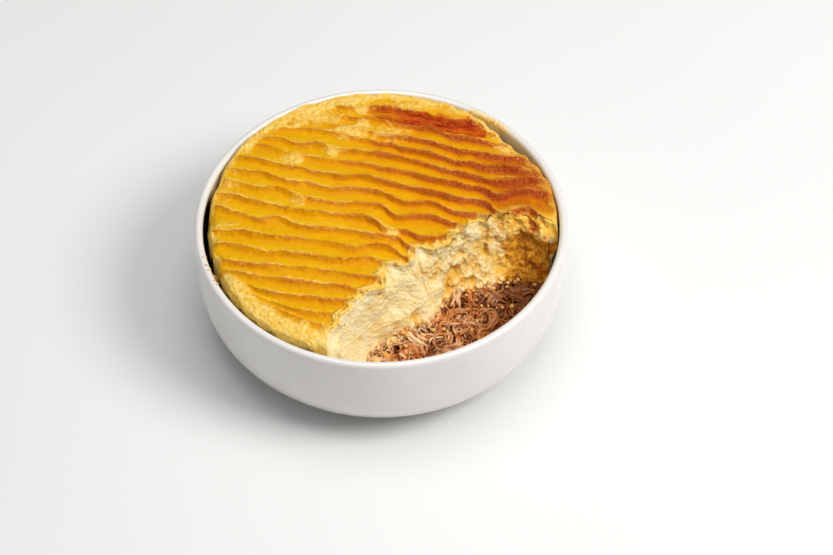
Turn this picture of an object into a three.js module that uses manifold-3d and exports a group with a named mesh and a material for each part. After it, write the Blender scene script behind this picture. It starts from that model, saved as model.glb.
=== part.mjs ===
// Shepherd's pie in its round porcelain bowl, with one portion spooned out at the front right.
// Millimetres, +Z up. The origin is the centre of the foot, on the surface the bowl stands on.

import * as THREE from 'three';
import { mergeVertices } from 'three/addons/utils/BufferGeometryUtils.js';
import Module from 'manifold-3d';

const wasm = await Module();
wasm.setup();

// ---- Driving dimensions -------------------------------------------------------------------

// Bowl
const RIM_RADIUS = 75;
const BOWL_HEIGHT = 50;
const WALL_TAPER = 0.015; // inward lean of the upright wall, mm for each mm of height
const LIP_RADIUS = 1.6;
const CORNER_TOP = 27.7; // height where the round corner meets the upright wall
const CORNER_REACH = 20.5; // how far the corner curves in on the outside
const INNER_CORNER_REACH = 17;
const BASE_HEIGHT = 3;
const INNER_FLOOR = 8;
const FOOT_OUTER_RADIUS = 50;
const FOOT_WIDTH = 5;
const FOOT_RECESS = 1.2;
const AROUND = 64; // facets round the bowl and the filling
const CORNER_STEPS = 6;
const LIP_STEPS = 4;

// Filling
const GAP = 0.3;
const MEAT_TOP = 26;
const MASH_FOOT = MEAT_TOP + GAP;
const CROWN_EDGE = BOWL_HEIGHT + 1.8; // mean height of the crust near the rim
const CROWN_RISE = 3; // how much higher the middle of the crust stands
const CROWN_RADIUS = 70;
const WALL_LEFT_AT = 43; // height where the mash comes away from the wall
const SHOULDER = [[70.6, 47.5], [69.7, 50.2], [67.6, 52], [63.5, 53.7], [57, 55.8], [46, 58.5]];
const SHOULDER_REACH = 4; // height over which the shoulder gets its full unevenness
const SHOULDER_ROUGHNESS = 0.6;

// The crests of the fork ridges, from the back of the pie to the front, each through [x, y] from
// left to right
const RIDGES = [
  [[-40, 64], [-14, 61], [3, 61.5], [10, 59.5], [20, 56.5], [30, 54], [41, 53.5], [52, 50.5]],
  [
    [-40, 59.5], [-8, 54], [0, 53.5], [10, 50.5], [20, 48.5], [30, 44.5], [36, 43], [50, 40.5],
    [60, 38],
  ],
  [
    [-45, 56.5], [-34, 54.5], [-20, 51.5], [-12, 48.5], [0, 45], [10, 43], [20, 40.5], [28, 37.5],
    [33, 35.5], [50, 33.5], [64, 33],
  ],
  [
    [-52, 50.5], [-35, 49.5], [-28, 48], [-20, 46], [-12, 43], [5, 38.5], [8, 36.5], [20, 33.5],
    [30, 29.5], [40, 27.5], [63, 26.5],
  ],
  [
    [-56, 46], [-40, 43], [-36, 40], [-25, 39], [-20, 36.5], [0, 33.5], [5, 32], [10, 30], [20, 27],
    [30, 23.5], [40, 20], [48, 18.5], [60, 20.5], [68, 21],
  ],
  [
    [-60, 41], [-50, 40], [-42, 37], [-34, 34], [-26, 31.5], [-15, 29], [-5, 27], [5, 24],
    [12, 22.5], [20, 19.5], [30, 17], [40, 14.5], [46, 11], [49, 10.5], [53, 13], [58, 14.5],
    [68, 13.5],
  ],
  [
    [-64, 36], [-50, 31.5], [-42, 28.5], [-35, 26], [-25, 23], [-17, 20.5], [-8, 20.5], [0, 17.5],
    [10, 15], [20, 12], [30, 8.5], [38, 8], [42, 6.5], [46, 1.5], [49, -1], [52, 1.5], [57, 4.5],
    [60, 4], [64, -0.5],
  ],
  [
    [-66, 29], [-55, 25], [-48, 23.5], [-38, 18.5], [-27, 16.5], [-20, 14], [-12, 14], [0, 11.5],
    [7, 7.5], [12, 6], [21, 6], [30, 1.5], [35, 0.5], [41, 0], [50, -6.5],
  ],
  [
    [-67, 22], [-60, 20], [-51, 16], [-42, 15], [-34, 11], [-28, 8.5], [-20, 6.5], [-10, 5.5],
    [-3, 5.5], [1, 3.5], [5, -1], [8, -2], [16, -1], [22, -1.5], [28, -4.5], [34, -7],
  ],
  [
    [-68, 14.5], [-61, 12.5], [-50, 8], [-40, 4.5], [-30, 1.5], [-18, 0], [-7, -2], [-3, -4],
    [1, -8], [5, -9], [9, -9], [17, -12.5], [22, -13], [32, -10.5],
  ],
  [
    [-69, 8.5], [-62, 4.5], [-53, 0.5], [-47, -2], [-41, -1.5], [-31, -6.5], [-18, -8], [-4, -11.5],
    [6, -12], [10, -16], [18, -21],
  ],
  [
    [-70, -5], [-53, -8.5], [-38, -12.5], [-33, -12.5], [-22, -15], [-9, -18], [-1, -16.5],
    [4, -18], [14, -26.5],
  ],
  [
    [-69, -12.5], [-57, -15], [-45, -19], [-38, -20], [-20, -23], [-11, -24], [-4, -23], [1, -25],
    [10, -32],
  ],
  [[-67, -19.5], [-62, -22], [-50, -25], [-30, -28], [-10, -32], [0, -33.5], [8, -37.5]],
  [[-65, -25.5], [-50, -30.5], [-40, -32], [-25, -36], [-15, -37], [2, -44]],
  [[-63, -30], [-47, -38], [-37, -40.5], [-25, -43], [-4, -45.5]],
  [[-58, -35.5], [-50, -39.5], [-40, -45.5], [-34, -48], [-25, -50], [-9, -52.5]],
  [[-54, -40], [-40, -48], [-30, -53], [-20, -57], [-13, -59]],
];
const RIDGE_DEPTH = 2.8;
const RIDGE_SLANT = 0.25; // fall towards the front beyond a ridge's last point, mm for each mm
const FRONT_WIDTH = 1.9; // the steep side of a ridge, towards the front
const FRONT_SHARE = 0.45; // the most of the way to the next ridge that the steep side takes up
const BACK_POWER = 1.8; // how late the gentle side rises to the next ridge
const FULL_GAP = 6; // ridges closer together than this are shallower
const LEAST_GAP = 1.2;
const RIDGE_SAMPLES = [[0, 0], [0.5, 0], [1, 0], [1, 0.6]]; // shares of the steep and gentle sides
const RIDGE_COLUMNS = 25;
const RIDGE_MARGIN = 30; // how far the ridged block runs on past the first and last ridge
const COURSE_STEPS = 120; // points along a ridge's course

// The border beside the rim that the fork left alone: bearing, half width and extra width
const FIELD_RADIUS = 67;
const FIELD_FADE = 4;
const BORDER_WIDER = [
  { angle: -133, halfWidth: 24, depth: 3.4 },
  { angle: 112, halfWidth: 26, depth: 2.2 },
  { angle: 180, halfWidth: 28, depth: -1.6 },
  { angle: 40, halfWidth: 18, depth: 1.6 },
];

// Places where the ridges are pressed flat: middle, reach and share of their height that is lost
const PRESSED = [
  { x: -36, y: 31.5, reachX: 6, reachY: 4, share: 0.7 },
  { x: -20, y: 35, reachX: 4, reachY: 4, share: 0.6 },
  { x: -12, y: 46, reachX: 8, reachY: 4, share: 0.6 },
  { x: 4, y: -10.5, reachX: 3.5, reachY: 2.5, share: 0.7 },
  { x: 52, y: 38, reachX: 8, reachY: 4, share: 0.6 },
];

// Places where the mash has shrunk away from the wall: bearing, half width and depth
const PULLED_IN = [
  { angle: 188, halfWidth: 26, depth: 2.4 },
  { angle: 40, halfWidth: 11, depth: 2.4 },
];
const PULLED_SINK = 0.4; // how much it has sunk there, for each mm that it has shrunk

// The back, where the mash stands up to the rim: bearing and half width, as a share of the lift
const RAISED = [{ angle: 112, halfWidth: 42, depth: 1 }];
const RAISED_LIFT = 1.8;
const RAISED_OUT = 1.6;
const RAISED_FROM = 60; // radius where the lift begins, full at the next
const RAISED_FULL = 70;

// The spooned-out hollow: its edge on the crust and its foot on the meat, [x, y], left to right
const HOLLOW_EDGE = [
  [-19, -84], [-20, -62], [-15, -54], [-9, -45], [1, -37], [4, -27], [11, -27],
  [16, -19], [24, -17], [31, -8], [40, -3], [50, 0], [62, 0], [86, -12],
];
const HOLLOW_FOOT = [
  [-11, -84], [-8, -62], [-5, -55], [-1, -47], [5, -42], [9, -38], [14, -34],
  [18, -26], [22, -20], [28, -16], [38, -13], [50, -12], [62, -13], [86, -20],
];
const HOLLOW_OUTSIDE = [[92, -60], [60, -95], [0, -100]]; // closes the hollow beyond the bowl
const HOLLOW_MIDDLE = [38, -48];
const EDGE_HEIGHT = 53;
const EDGE_OVERRUN = 1.15; // how far the wall's slope goes on above its edge, as a share of its height
const HOLLOW_BELOW = 22;
const HOLLOW_ABOVE = 66;
const HOLLOW_STEPS_ALONG = 44;
const HOLLOW_LEVELS = 12;
const FACE_LUMP = 1.4; // relief of the broken mash face
const FACE_GRAIN = 1.7; // how much finer the face's lumps are than other unevenness

// The meat that the hollow lays bare, between shares of the hollow's foot and bearings of the wall
const BARE_FOOT = [0.12, 0.94];
const BARE_WALL = [-98, -12];
const BED_CELLS = [18, 9];
const BED_RELIEF = 1.5;

// Shreds of meat on it
const SHRED_SEED = 5;
const SHRED_SPACING = 8;
const SHRED_LENGTH = [9, 17];
const SHRED_WIDTH = [1.8, 3.2];
const SHRED_THICKNESS = [1.3, 2];
const SHRED_RISE = [1.5, 4.5];
const SHRED_TILT = 3;
const SHRED_SWAY = 0.3; // sideways bend, as a share of the length
const SHRED_BENDS = [-0.5, -0.2, 0.15, 0.5]; // places along the length that shape its arch
const SHRED_DIP = 1; // how deep its ends lie in the bed
const SHRED_STEPS = 4;
const SHRED_SIDES = 5;

// ---- Helpers ------------------------------------------------------------------------------

const DEGREE = Math.PI / 180;

function mix(from, to, share) {
  return from + (to - from) * share;
}

function bump(distance, reach) {
  return Math.exp(-((distance / reach) ** 2));
}

// Angle from one bearing to another, in degrees, between -180 and 180
function turnBetween(angle, other) {
  return ((((angle - other) % 360) + 540) % 360) - 180;
}

// Sum of the bells at places that are given by their bearing
function atBearing(places, x, y) {
  const bearing = Math.atan2(y, x) / DEGREE;
  return places.reduce((sum, place) => (
    sum + place.depth * bump(turnBetween(bearing, place.angle), place.halfWidth)), 0);
}

// 0 up to one value and 1 from another on, with a smooth step between them
function smooth(from, to, value) {
  return THREE.MathUtils.smoothstep(value, from, to);
}

// A repeatable random number generator, returning numbers between 0 and 1
function randomSource(seed) {
  let state = seed;
  return () => {
    state = (state * 1664525 + 1013904223) % 4294967296;
    return state / 4294967296;
  };
}

// Smooth unevenness between about -1 and 1
function unevenness(x, y, z) {
  const broad = Math.sin(0.31 * x + 0.23 * z + 1) * Math.sin(0.27 * y - 0.19 * z + 2);
  const fine = Math.sin(0.63 * x - 0.41 * y + 0.55 * z);
  return 0.65 * broad + 0.45 * fine;
}

// Moves every vertex of a geometry to the place that a function gives it
function reshape(geometry, place) {
  const position = geometry.getAttribute('position');
  const vertex = new THREE.Vector3();
  for (let index = 0; index < position.count; index += 1) {
    vertex.fromBufferAttribute(position, index);
    place(vertex);
    position.setXYZ(index, vertex.x, vertex.y, vertex.z);
  }
  return geometry;
}

// Merges shared vertices, drops faces that have shrunk to a line and makes a solid
function toSolid(geometry) {
  const bare = geometry.clone();
  bare.deleteAttribute('normal');
  bare.deleteAttribute('uv');
  const merged = mergeVertices(bare, 1e-3);
  const faces = [];
  for (let index = 0; index < merged.index.count; index += 3) {
    const [a, b, c] = [0, 1, 2].map((corner) => merged.index.getX(index + corner));
    if (a !== b && b !== c && c !== a) {
      faces.push(a, b, c);
    }
  }
  return new wasm.Manifold(new wasm.Mesh({
    numProp: 3,
    vertProperties: new Float32Array(merged.getAttribute('position').array),
    triVerts: new Uint32Array(faces),
  }));
}

// The largest body of a solid, without loose scraps and sealed hollows
function largestBody(solid) {
  const bodies = solid.decompose();
  return bodies.reduce((best, body) => (body.volume() > best.volume() ? body : best));
}

function toGeometry(solid) {
  const mesh = solid.getMesh();
  const geometry = new THREE.BufferGeometry();
  geometry.setAttribute('position', new THREE.BufferAttribute(new Float32Array(mesh.vertProperties), 3));
  geometry.setIndex(new THREE.BufferAttribute(new Uint32Array(mesh.triVerts), 1));
  geometry.computeVertexNormals();
  return geometry;
}

// A solid of revolution about Z from [radius, height] points, listed from the foot outwards
function turned(outline) {
  const points = outline.map(([radius, height]) => new THREE.Vector2(radius, height));
  return new THREE.LatheGeometry(points, AROUND).rotateX(Math.PI / 2).rotateZ(Math.PI);
}

// Points of an elliptical corner, from its foot up to the upright wall
function cornerPoints(centreRadius, reach, drop) {
  return Array.from({ length: CORNER_STEPS + 1 }, (_, step) => {
    const angle = (step / CORNER_STEPS) * 90 * DEGREE;
    return [centreRadius + reach * Math.sin(angle), CORNER_TOP - drop * Math.cos(angle)];
  });
}

// ---- Bowl ---------------------------------------------------------------------------------

const cornerCentre = RIM_RADIUS - WALL_TAPER * (BOWL_HEIGHT - CORNER_TOP) - CORNER_REACH;

const innerCorner = cornerPoints(cornerCentre, INNER_CORNER_REACH, CORNER_TOP - INNER_FLOOR);

// Radius of the bowl's inner wall at a height, along the straight facets of its corner
function innerRadius(height) {
  const above = innerCorner.findIndex(([, level]) => level >= height);
  if (above < 0) {
    return cornerCentre + INNER_CORNER_REACH + WALL_TAPER * (height - CORNER_TOP);
  }
  const [lowRadius, low] = innerCorner[Math.max(0, above - 1)];
  const [highRadius, high] = innerCorner[above];
  return mix(lowRadius, highRadius, (height - low) / Math.max(high - low, GAP));
}

// The outline of what fills the bowl, from the foot of its corner up to a height
function fillingOutline(from, to) {
  const corner = cornerPoints(cornerCentre, INNER_CORNER_REACH - GAP, CORNER_TOP - INNER_FLOOR - GAP);
  return [
    [0, from],
    ...(from > INNER_FLOOR + GAP ? [[innerRadius(from) - GAP, from]] : []),
    ...corner.filter(([, height]) => height > from - GAP && height < to),
    [innerRadius(to) - GAP, to],
  ];
}

function bowlGeometry() {
  const lipHeight = BOWL_HEIGHT - LIP_RADIUS;
  const lipCentre = (RIM_RADIUS + innerRadius(BOWL_HEIGHT)) / 2;
  const lipReach = (RIM_RADIUS - innerRadius(BOWL_HEIGHT)) / 2;
  const lip = Array.from({ length: LIP_STEPS + 1 }, (_, step) => {
    const angle = (step / LIP_STEPS) * Math.PI;
    return [lipCentre + lipReach * Math.cos(angle), lipHeight + LIP_RADIUS * Math.sin(angle)];
  });
  const footInner = FOOT_OUTER_RADIUS - FOOT_WIDTH;
  return turned([
    [0, FOOT_RECESS],
    [footInner - FOOT_RECESS, FOOT_RECESS],
    [footInner, 0],
    [FOOT_OUTER_RADIUS, 0],
    [FOOT_OUTER_RADIUS + 1, BASE_HEIGHT],
    ...cornerPoints(cornerCentre, CORNER_REACH, CORNER_TOP - BASE_HEIGHT),
    ...lip,
    ...[...innerCorner].reverse(),
    [0, INNER_FLOOR],
  ]);
}

// ---- Fork ridges on the crust -------------------------------------------------------------

// A ridge's course as points of a smooth curve, carried on straight past both ends
const ridgeCourses = RIDGES.map((crest) => {
  const curve = new THREE.CatmullRomCurve3(crest.map(([x, y]) => new THREE.Vector3(x, y, 0)));
  const points = curve.getPoints(COURSE_STEPS);
  const [first, last] = [points[0], points.at(-1)];
  const before = new THREE.Vector3(first.x - RIM_RADIUS, first.y + RIDGE_SLANT * RIM_RADIUS, 0);
  const after = new THREE.Vector3(last.x + RIM_RADIUS, last.y - RIDGE_SLANT * RIM_RADIUS, 0);
  return [before, ...points, after];
});

// Where a course lies along Y at a given x
function courseAt(points, x) {
  const next = Math.max(1, points.findIndex((point) => point.x >= x));
  const [before, after] = [points[next - 1], points[next]];
  return mix(before.y, after.y, (x - before.x) / (after.x - before.x));
}

// Where every crest lies along Y at a given x, from back to front, kept a little apart
function crestsAt(x) {
  const places = [];
  for (const course of ridgeCourses) {
    const y = courseAt(course, x);
    places.push(places.length > 0 ? Math.min(y, places.at(-1) - LEAST_GAP) : y);
  }
  return places;
}

function crownHeight(x, y) {
  return CROWN_EDGE + CROWN_RISE * (1 - (x * x + y * y) / CROWN_RADIUS ** 2);
}

// How strongly the fork has shaped the crust at a point, from 0 in the border to 1
function worked(x, y) {
  const edge = FIELD_RADIUS - atBearing(BORDER_WIDER, x, y);
  const flat = PRESSED.map((place) => (
    place.share * bump(x - place.x, place.reachX) * bump(y - place.y, place.reachY)));
  return (1 - smooth(edge - FIELD_FADE, edge, Math.hypot(x, y))) * (1 - Math.max(...flat));
}

// The ridged top as the upper face of a block; every row of the block follows the crests
function ridgedBlock() {
  const ridges = RIDGES.length;
  const rows = [{ ridge: 0, steep: 0, gentle: 0, beyond: RIDGE_MARGIN }];
  for (let ridge = 0; ridge < ridges - 1; ridge += 1) {
    for (const [steep, gentle] of RIDGE_SAMPLES) {
      rows.push({ ridge, steep, gentle, beyond: 0 });
    }
  }
  rows.push({ ridge: ridges - 1, steep: 0, gentle: 0, beyond: 0 });
  rows.push({ ridge: ridges - 1, steep: 1, gentle: 0, beyond: -RIDGE_MARGIN });
  const block = new THREE.BoxGeometry(2, 2, 2, RIDGE_COLUMNS, rows.length - 1, 1);
  return reshape(block, (vertex) => {
    const row = rows[Math.round(((1 - vertex.y) / 2) * (rows.length - 1))];
    const x = vertex.x * (RIM_RADIUS + 1);
    const crests = crestsAt(x);
    const gap = crests[row.ridge] - (crests[row.ridge + 1] ?? crests[row.ridge] - FULL_GAP);
    const front = Math.min(FRONT_WIDTH, FRONT_SHARE * gap);
    const y = crests[row.ridge] - front * row.steep - (gap - front) * row.gentle + row.beyond;
    const steepSide = (1 + Math.cos(Math.PI * row.steep)) / 2;
    const relief = row.beyond > 0 ? 0 : steepSide + row.gentle ** BACK_POWER;
    const strength = worked(x, y);
    const depth = RIDGE_DEPTH * strength * Math.min(1, gap / FULL_GAP);
    const top = crownHeight(x, y) - (RIDGE_DEPTH / 2) * strength + depth * relief;
    vertex.set(x, y, vertex.z > 0 ? top : HOLLOW_BELOW);
  });
}

// ---- Mash ---------------------------------------------------------------------------------

// The mash without its ridges and hollow: it fills the bowl and rounds over beside the rim
function mashBody() {
  const outline = [
    ...fillingOutline(MASH_FOOT, WALL_LEFT_AT),
    ...SHOULDER,
    [0, SHOULDER.at(-1)[1]],
  ];
  return reshape(turned(outline), (vertex) => {
    const radius = Math.hypot(vertex.x, vertex.y);
    const free = Math.min(1, Math.max(0, (vertex.z - WALL_LEFT_AT) / SHOULDER_REACH));
    if (radius < SHOULDER.at(-1)[0] - 1 || free === 0) {
      return;
    }
    const pulled = atBearing(PULLED_IN, vertex.x, vertex.y);
    const raised = atBearing(RAISED, vertex.x, vertex.y);
    const rough = SHOULDER_ROUGHNESS * (1 + unevenness(vertex.x, vertex.y, vertex.z));
    const wanted = radius - free * (pulled + rough * (1 - raised) - RAISED_OUT * raised);
    const scale = Math.min(wanted, innerRadius(vertex.z) - GAP) / radius;
    const lift = RAISED_LIFT * raised * smooth(RAISED_FROM, RAISED_FULL, radius);
    const sink = PULLED_SINK * pulled + SHOULDER_ROUGHNESS * unevenness(vertex.y, vertex.x, 0);
    vertex.x *= scale;
    vertex.y *= scale;
    vertex.z += free * (lift - sink);
  });
}

const edgeCurve = new THREE.CatmullRomCurve3(HOLLOW_EDGE.map(([x, y]) => new THREE.Vector3(x, y, 0)));
const footCurve = new THREE.CatmullRomCurve3(HOLLOW_FOOT.map(([x, y]) => new THREE.Vector3(x, y, 0)));

// A point of the hollow's wall, by its share along the edge and its height
function hollowWall(along, height, inset) {
  const edge = edgeCurve.getPoint(along);
  const foot = footCurve.getPoint(along);
  const rise = (height - MEAT_TOP) / (EDGE_HEIGHT - MEAT_TOP);
  const point = foot.lerp(edge, Math.max(0, Math.min(EDGE_OVERRUN, rise)));
  const towardsMiddle = new THREE.Vector3(HOLLOW_MIDDLE[0] - point.x, HOLLOW_MIDDLE[1] - point.y, 0);
  const grain = FACE_GRAIN;
  const lump = FACE_LUMP * unevenness(point.x * grain, point.y * grain, height * grain);
  return point.addScaledVector(towardsMiddle.normalize(), lump + inset);
}

// The hollow as a tool to cut with, made smaller all round by the inset
function hollowTool(inset) {
  const corners = HOLLOW_OUTSIDE.length;
  const around = HOLLOW_STEPS_ALONG + corners + 1;
  const barrel = new THREE.CylinderGeometry(1, 1, 2, around, HOLLOW_LEVELS);
  barrel.rotateX(Math.PI / 2);
  return reshape(barrel, (vertex) => {
    const height = mix(HOLLOW_BELOW, HOLLOW_ABOVE, (vertex.z + 1) / 2);
    const turn = Math.atan2(vertex.y, vertex.x) / (2 * Math.PI);
    const step = Math.round((1 - turn) * around) % around;
    const onAxis = Math.hypot(vertex.x, vertex.y) < 0.5;
    if (onAxis) {
      vertex.set(...HOLLOW_MIDDLE, height);
    } else if (step <= HOLLOW_STEPS_ALONG) {
      vertex.copy(hollowWall(step / HOLLOW_STEPS_ALONG, height, inset)).setZ(height);
    } else {
      vertex.set(...HOLLOW_OUTSIDE[step - HOLLOW_STEPS_ALONG - 1], height);
    }
  });
}

function mashGeometry() {
  const ridged = toSolid(mashBody()).intersect(toSolid(ridgedBlock()));
  return toGeometry(largestBody(ridged.subtract(toSolid(hollowTool(0)))));
}

// ---- Meat ---------------------------------------------------------------------------------

// The bed of meat under the mash, flat on top and shaped by the bowl below
function meatBed() {
  return turned([...fillingOutline(INNER_FLOOR + GAP, MEAT_TOP), [0, MEAT_TOP]]);
}

// A place on the bare meat, by its share along the hollow's foot and across to the bowl's wall
function barePlace(along, across) {
  const foot = footCurve.getPoint(mix(...BARE_FOOT, along));
  const bearing = mix(...BARE_WALL, along) * DEGREE;
  const radius = innerRadius(MEAT_TOP);
  return foot.lerp(new THREE.Vector3(radius * Math.cos(bearing), radius * Math.sin(bearing), 0), across);
}

// The lumpy surface of the bare meat, as the top of a thin block
function bareBed() {
  const block = new THREE.BoxGeometry(2, 2, 2, ...BED_CELLS, 1);
  return reshape(block, (vertex) => {
    const place = barePlace((vertex.x + 1) / 2, (1 - vertex.y) / 2);
    const relief = BED_RELIEF * (0.5 + unevenness(place.x, place.y, 0));
    vertex.set(place.x, place.y, MEAT_TOP + (vertex.z > 0 ? relief : -2 * BED_RELIEF));
  });
}

// One flat, arched shred of meat, with an end or both dipping into the bed
function shredGeometry(middle, random) {
  const draw = ([from, to]) => mix(from, to, random());
  const heading = random() * Math.PI;
  const length = draw(SHRED_LENGTH);
  const rise = draw(SHRED_RISE);
  const tilt = mix(-SHRED_TILT, SHRED_TILT, random());
  const sway = mix(-SHRED_SWAY, SHRED_SWAY, random()) * length;
  const points = SHRED_BENDS.map((share) => {
    const arch = 1 - 4 * share * share;
    return new THREE.Vector3(share * length, sway * arch, rise * arch + tilt * share - SHRED_DIP)
      .applyAxisAngle(new THREE.Vector3(0, 0, 1), heading)
      .add(new THREE.Vector3(middle.x, middle.y, MEAT_TOP));
  });
  const width = draw(SHRED_WIDTH);
  const thickness = draw(SHRED_THICKNESS);
  const section = new THREE.Shape(Array.from({ length: SHRED_SIDES }, (_, corner) => {
    const angle = (corner / SHRED_SIDES) * 2 * Math.PI;
    return new THREE.Vector2((thickness / 2) * Math.cos(angle), (width / 2) * Math.sin(angle));
  }));
  return new THREE.ExtrudeGeometry(section, {
    steps: SHRED_STEPS,
    bevelEnabled: false,
    extrudePath: new THREE.CatmullRomCurve3(points),
  });
}

// Shreds spread evenly over the bare meat, each a little off its place
function shreds() {
  const random = randomSource(SHRED_SEED);
  const alongLength = barePlace(0, 0.5).distanceTo(barePlace(1, 0.5));
  const alongCount = Math.round(alongLength / SHRED_SPACING);
  const geometries = [];
  for (let column = 0; column < alongCount; column += 1) {
    const along = (column + 0.5) / alongCount;
    const acrossLength = barePlace(along, 0).distanceTo(barePlace(along, 1));
    const acrossCount = Math.max(1, Math.round(acrossLength / SHRED_SPACING));
    for (let row = 0; row < acrossCount; row += 1) {
      const across = (row + mix(0.2, 0.8, random())) / acrossCount;
      const middle = barePlace((column + mix(0.1, 0.9, random())) / alongCount, across);
      geometries.push(shredGeometry(middle, random));
    }
  }
  return geometries;
}

function meatGeometry() {
  const heap = [bareBed(), ...shreds()].map(toSolid).reduce((sum, piece) => sum.add(piece));
  const inBowl = turned([...fillingOutline(INNER_FLOOR + GAP, EDGE_HEIGHT), [0, EDGE_HEIGHT]]);
  const room = toSolid(hollowTool(GAP + 0.1)).intersect(toSolid(inBowl));
  return toGeometry(largestBody(toSolid(meatBed()).add(heap.intersect(room))));
}

// ---- Assembly -----------------------------------------------------------------------------

const porcelain = new THREE.MeshStandardMaterial({ color: 0xe9e6e2, roughness: 0.15, metalness: 0 });
const shreddedMeat = new THREE.MeshStandardMaterial({ color: 0x9a6233, roughness: 0.55, metalness: 0 });
const brownedMash = new THREE.MeshStandardMaterial({ color: 0xe3ab2c, roughness: 0.4, metalness: 0 });

function part(name, geometry, material) {
  const mesh = new THREE.Mesh(geometry, material);
  mesh.name = name;
  return mesh;
}

const pie = new THREE.Group();
pie.add(part('dish', toGeometry(toSolid(bowlGeometry())), porcelain));
pie.add(part('meat', meatGeometry(), shreddedMeat));
pie.add(part('mash', mashGeometry(), brownedMash));

export default pie;
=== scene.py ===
"""Shepherd's pie in its porcelain bowl: browned, fork-ridged mash over shredded meat, with one
portion spooned out.

Sizes are in millimetres until a mesh is made, and those of the stage, lamps and camera in metres.
The shapes follow the part's own in finer detail. Two faint ridges, most places where the ridges
are pressed flat, some of the border's width and relief and its gap to the wall are the scene's own.
"""

import bpy
import numpy as np
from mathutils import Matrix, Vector


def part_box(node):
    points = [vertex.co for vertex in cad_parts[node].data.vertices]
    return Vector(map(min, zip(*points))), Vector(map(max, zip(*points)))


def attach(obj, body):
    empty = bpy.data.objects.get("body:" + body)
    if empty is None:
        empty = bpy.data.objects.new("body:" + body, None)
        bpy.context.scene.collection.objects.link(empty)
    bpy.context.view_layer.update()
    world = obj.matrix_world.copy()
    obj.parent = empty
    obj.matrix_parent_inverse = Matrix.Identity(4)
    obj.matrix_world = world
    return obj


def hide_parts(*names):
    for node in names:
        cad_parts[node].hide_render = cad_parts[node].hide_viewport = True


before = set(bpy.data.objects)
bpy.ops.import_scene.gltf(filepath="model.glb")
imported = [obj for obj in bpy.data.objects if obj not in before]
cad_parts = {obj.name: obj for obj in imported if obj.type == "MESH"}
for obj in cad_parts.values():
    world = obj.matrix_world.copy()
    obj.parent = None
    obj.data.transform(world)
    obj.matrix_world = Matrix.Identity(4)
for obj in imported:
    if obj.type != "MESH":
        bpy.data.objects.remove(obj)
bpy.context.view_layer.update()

MM = 0.001

# ---- Sizes of the bowl, mash and meat, in mm, most of them the part's own ------------------

RIM_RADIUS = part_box("dish")[1].x / MM
BOWL_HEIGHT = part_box("dish")[1].z / MM
WALL_TAPER = 0.015
LIP_RADIUS = 1.6
CORNER_TOP = 27.7
CORNER_REACH = 20.5
INNER_CORNER_REACH = 17
BASE_HEIGHT = 3
INNER_FLOOR = 8
FOOT_OUTER_RADIUS = 50
FOOT_INNER_RADIUS = 45
FOOT_RECESS = 1.2
CORNER_CENTRE = RIM_RADIUS - WALL_TAPER * (BOWL_HEIGHT - CORNER_TOP) - CORNER_REACH
GAP = 0.35  # between the filling and the bowl, a little more than the part's

MEAT_TOP = 26
MASH_FOOT = 26.3
CROWN_EDGE = BOWL_HEIGHT + 1.8
CROWN_RISE = 3
CROWN_RADIUS = 70
SHOULDER_RADII = [46, 57, 63.5, 67.6, 69.7, 70.6, 71.3]
SHOULDER_HEIGHTS = [58.5, 55.8, 53.7, 52, 50.2, 47.5, 43]
SHOULDER_ROUGHNESS = 0.6
PULLED_SINK = 0.4
PULLED_IN = [(192, 25, 1.2), (40, 11, 2.4)]  # bearing, half width and depth
RAISED = [(112, 42, 1.0), (-128, 26, 0.8), (12, 18, 0.7)]  # bearing, half width and share
RAISED_LIFT = 1.8
RAISED_OUT = 1.6
RAISED_FROM, RAISED_FULL = 60, 70  # radii between which the lift begins and is full
FORK_REACH = 67.0  # mean radius of the fork's work
WIDER_BORDER = [  # bearing, half width and by how much the border beyond it is wider
    (-133, 24, 3.4), (112, 26, 2.2), (180, 28, -1.6), (40, 18, 1.6), (12, 20, -2.4), (-116, 12, 1.6),
]

RIDGE_DEPTH = 2.8
RIDGE_SLANT = 0.25  # how far a ridge comes forward for each mm to the right, beyond its last point
FRONT_WIDTH = 1.9  # the steep side of a ridge, towards the front
FRONT_WIDTH_LEFT = 2.8  # the same at the left
FRONT_SHARE = 0.5  # the most of the way to the next ridge that the steep side takes up
BACK_POWER = 1.8  # how late the gentle side rises to the next ridge
FULL_GAP = 6  # ridges closer together than this are shallower
LEFT_DEPTH = 0.55  # how deep the ridges are at the left, as a share of those at the right
RIDGE_WAVER = [(0.45, 5, 3), (0.28, 1.5, 4), (0.16, 0.7, 5)]  # noises: amount, size and seed
NICKS = [(0.22, 1.6, 7), (0.16, 0.8, 8)]
BORDER_WAVER = [(1.6, 9, 21), (1.1, 3, 22), (0.5, 1.2, 23)]
TORN_WAVER = [(1.5, 3, 11), (1.1, 1.1, 24)]
TORN_REACH = (5.2, 3.2)  # how far from the hollow's edge the crust is torn, at the left and right
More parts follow.
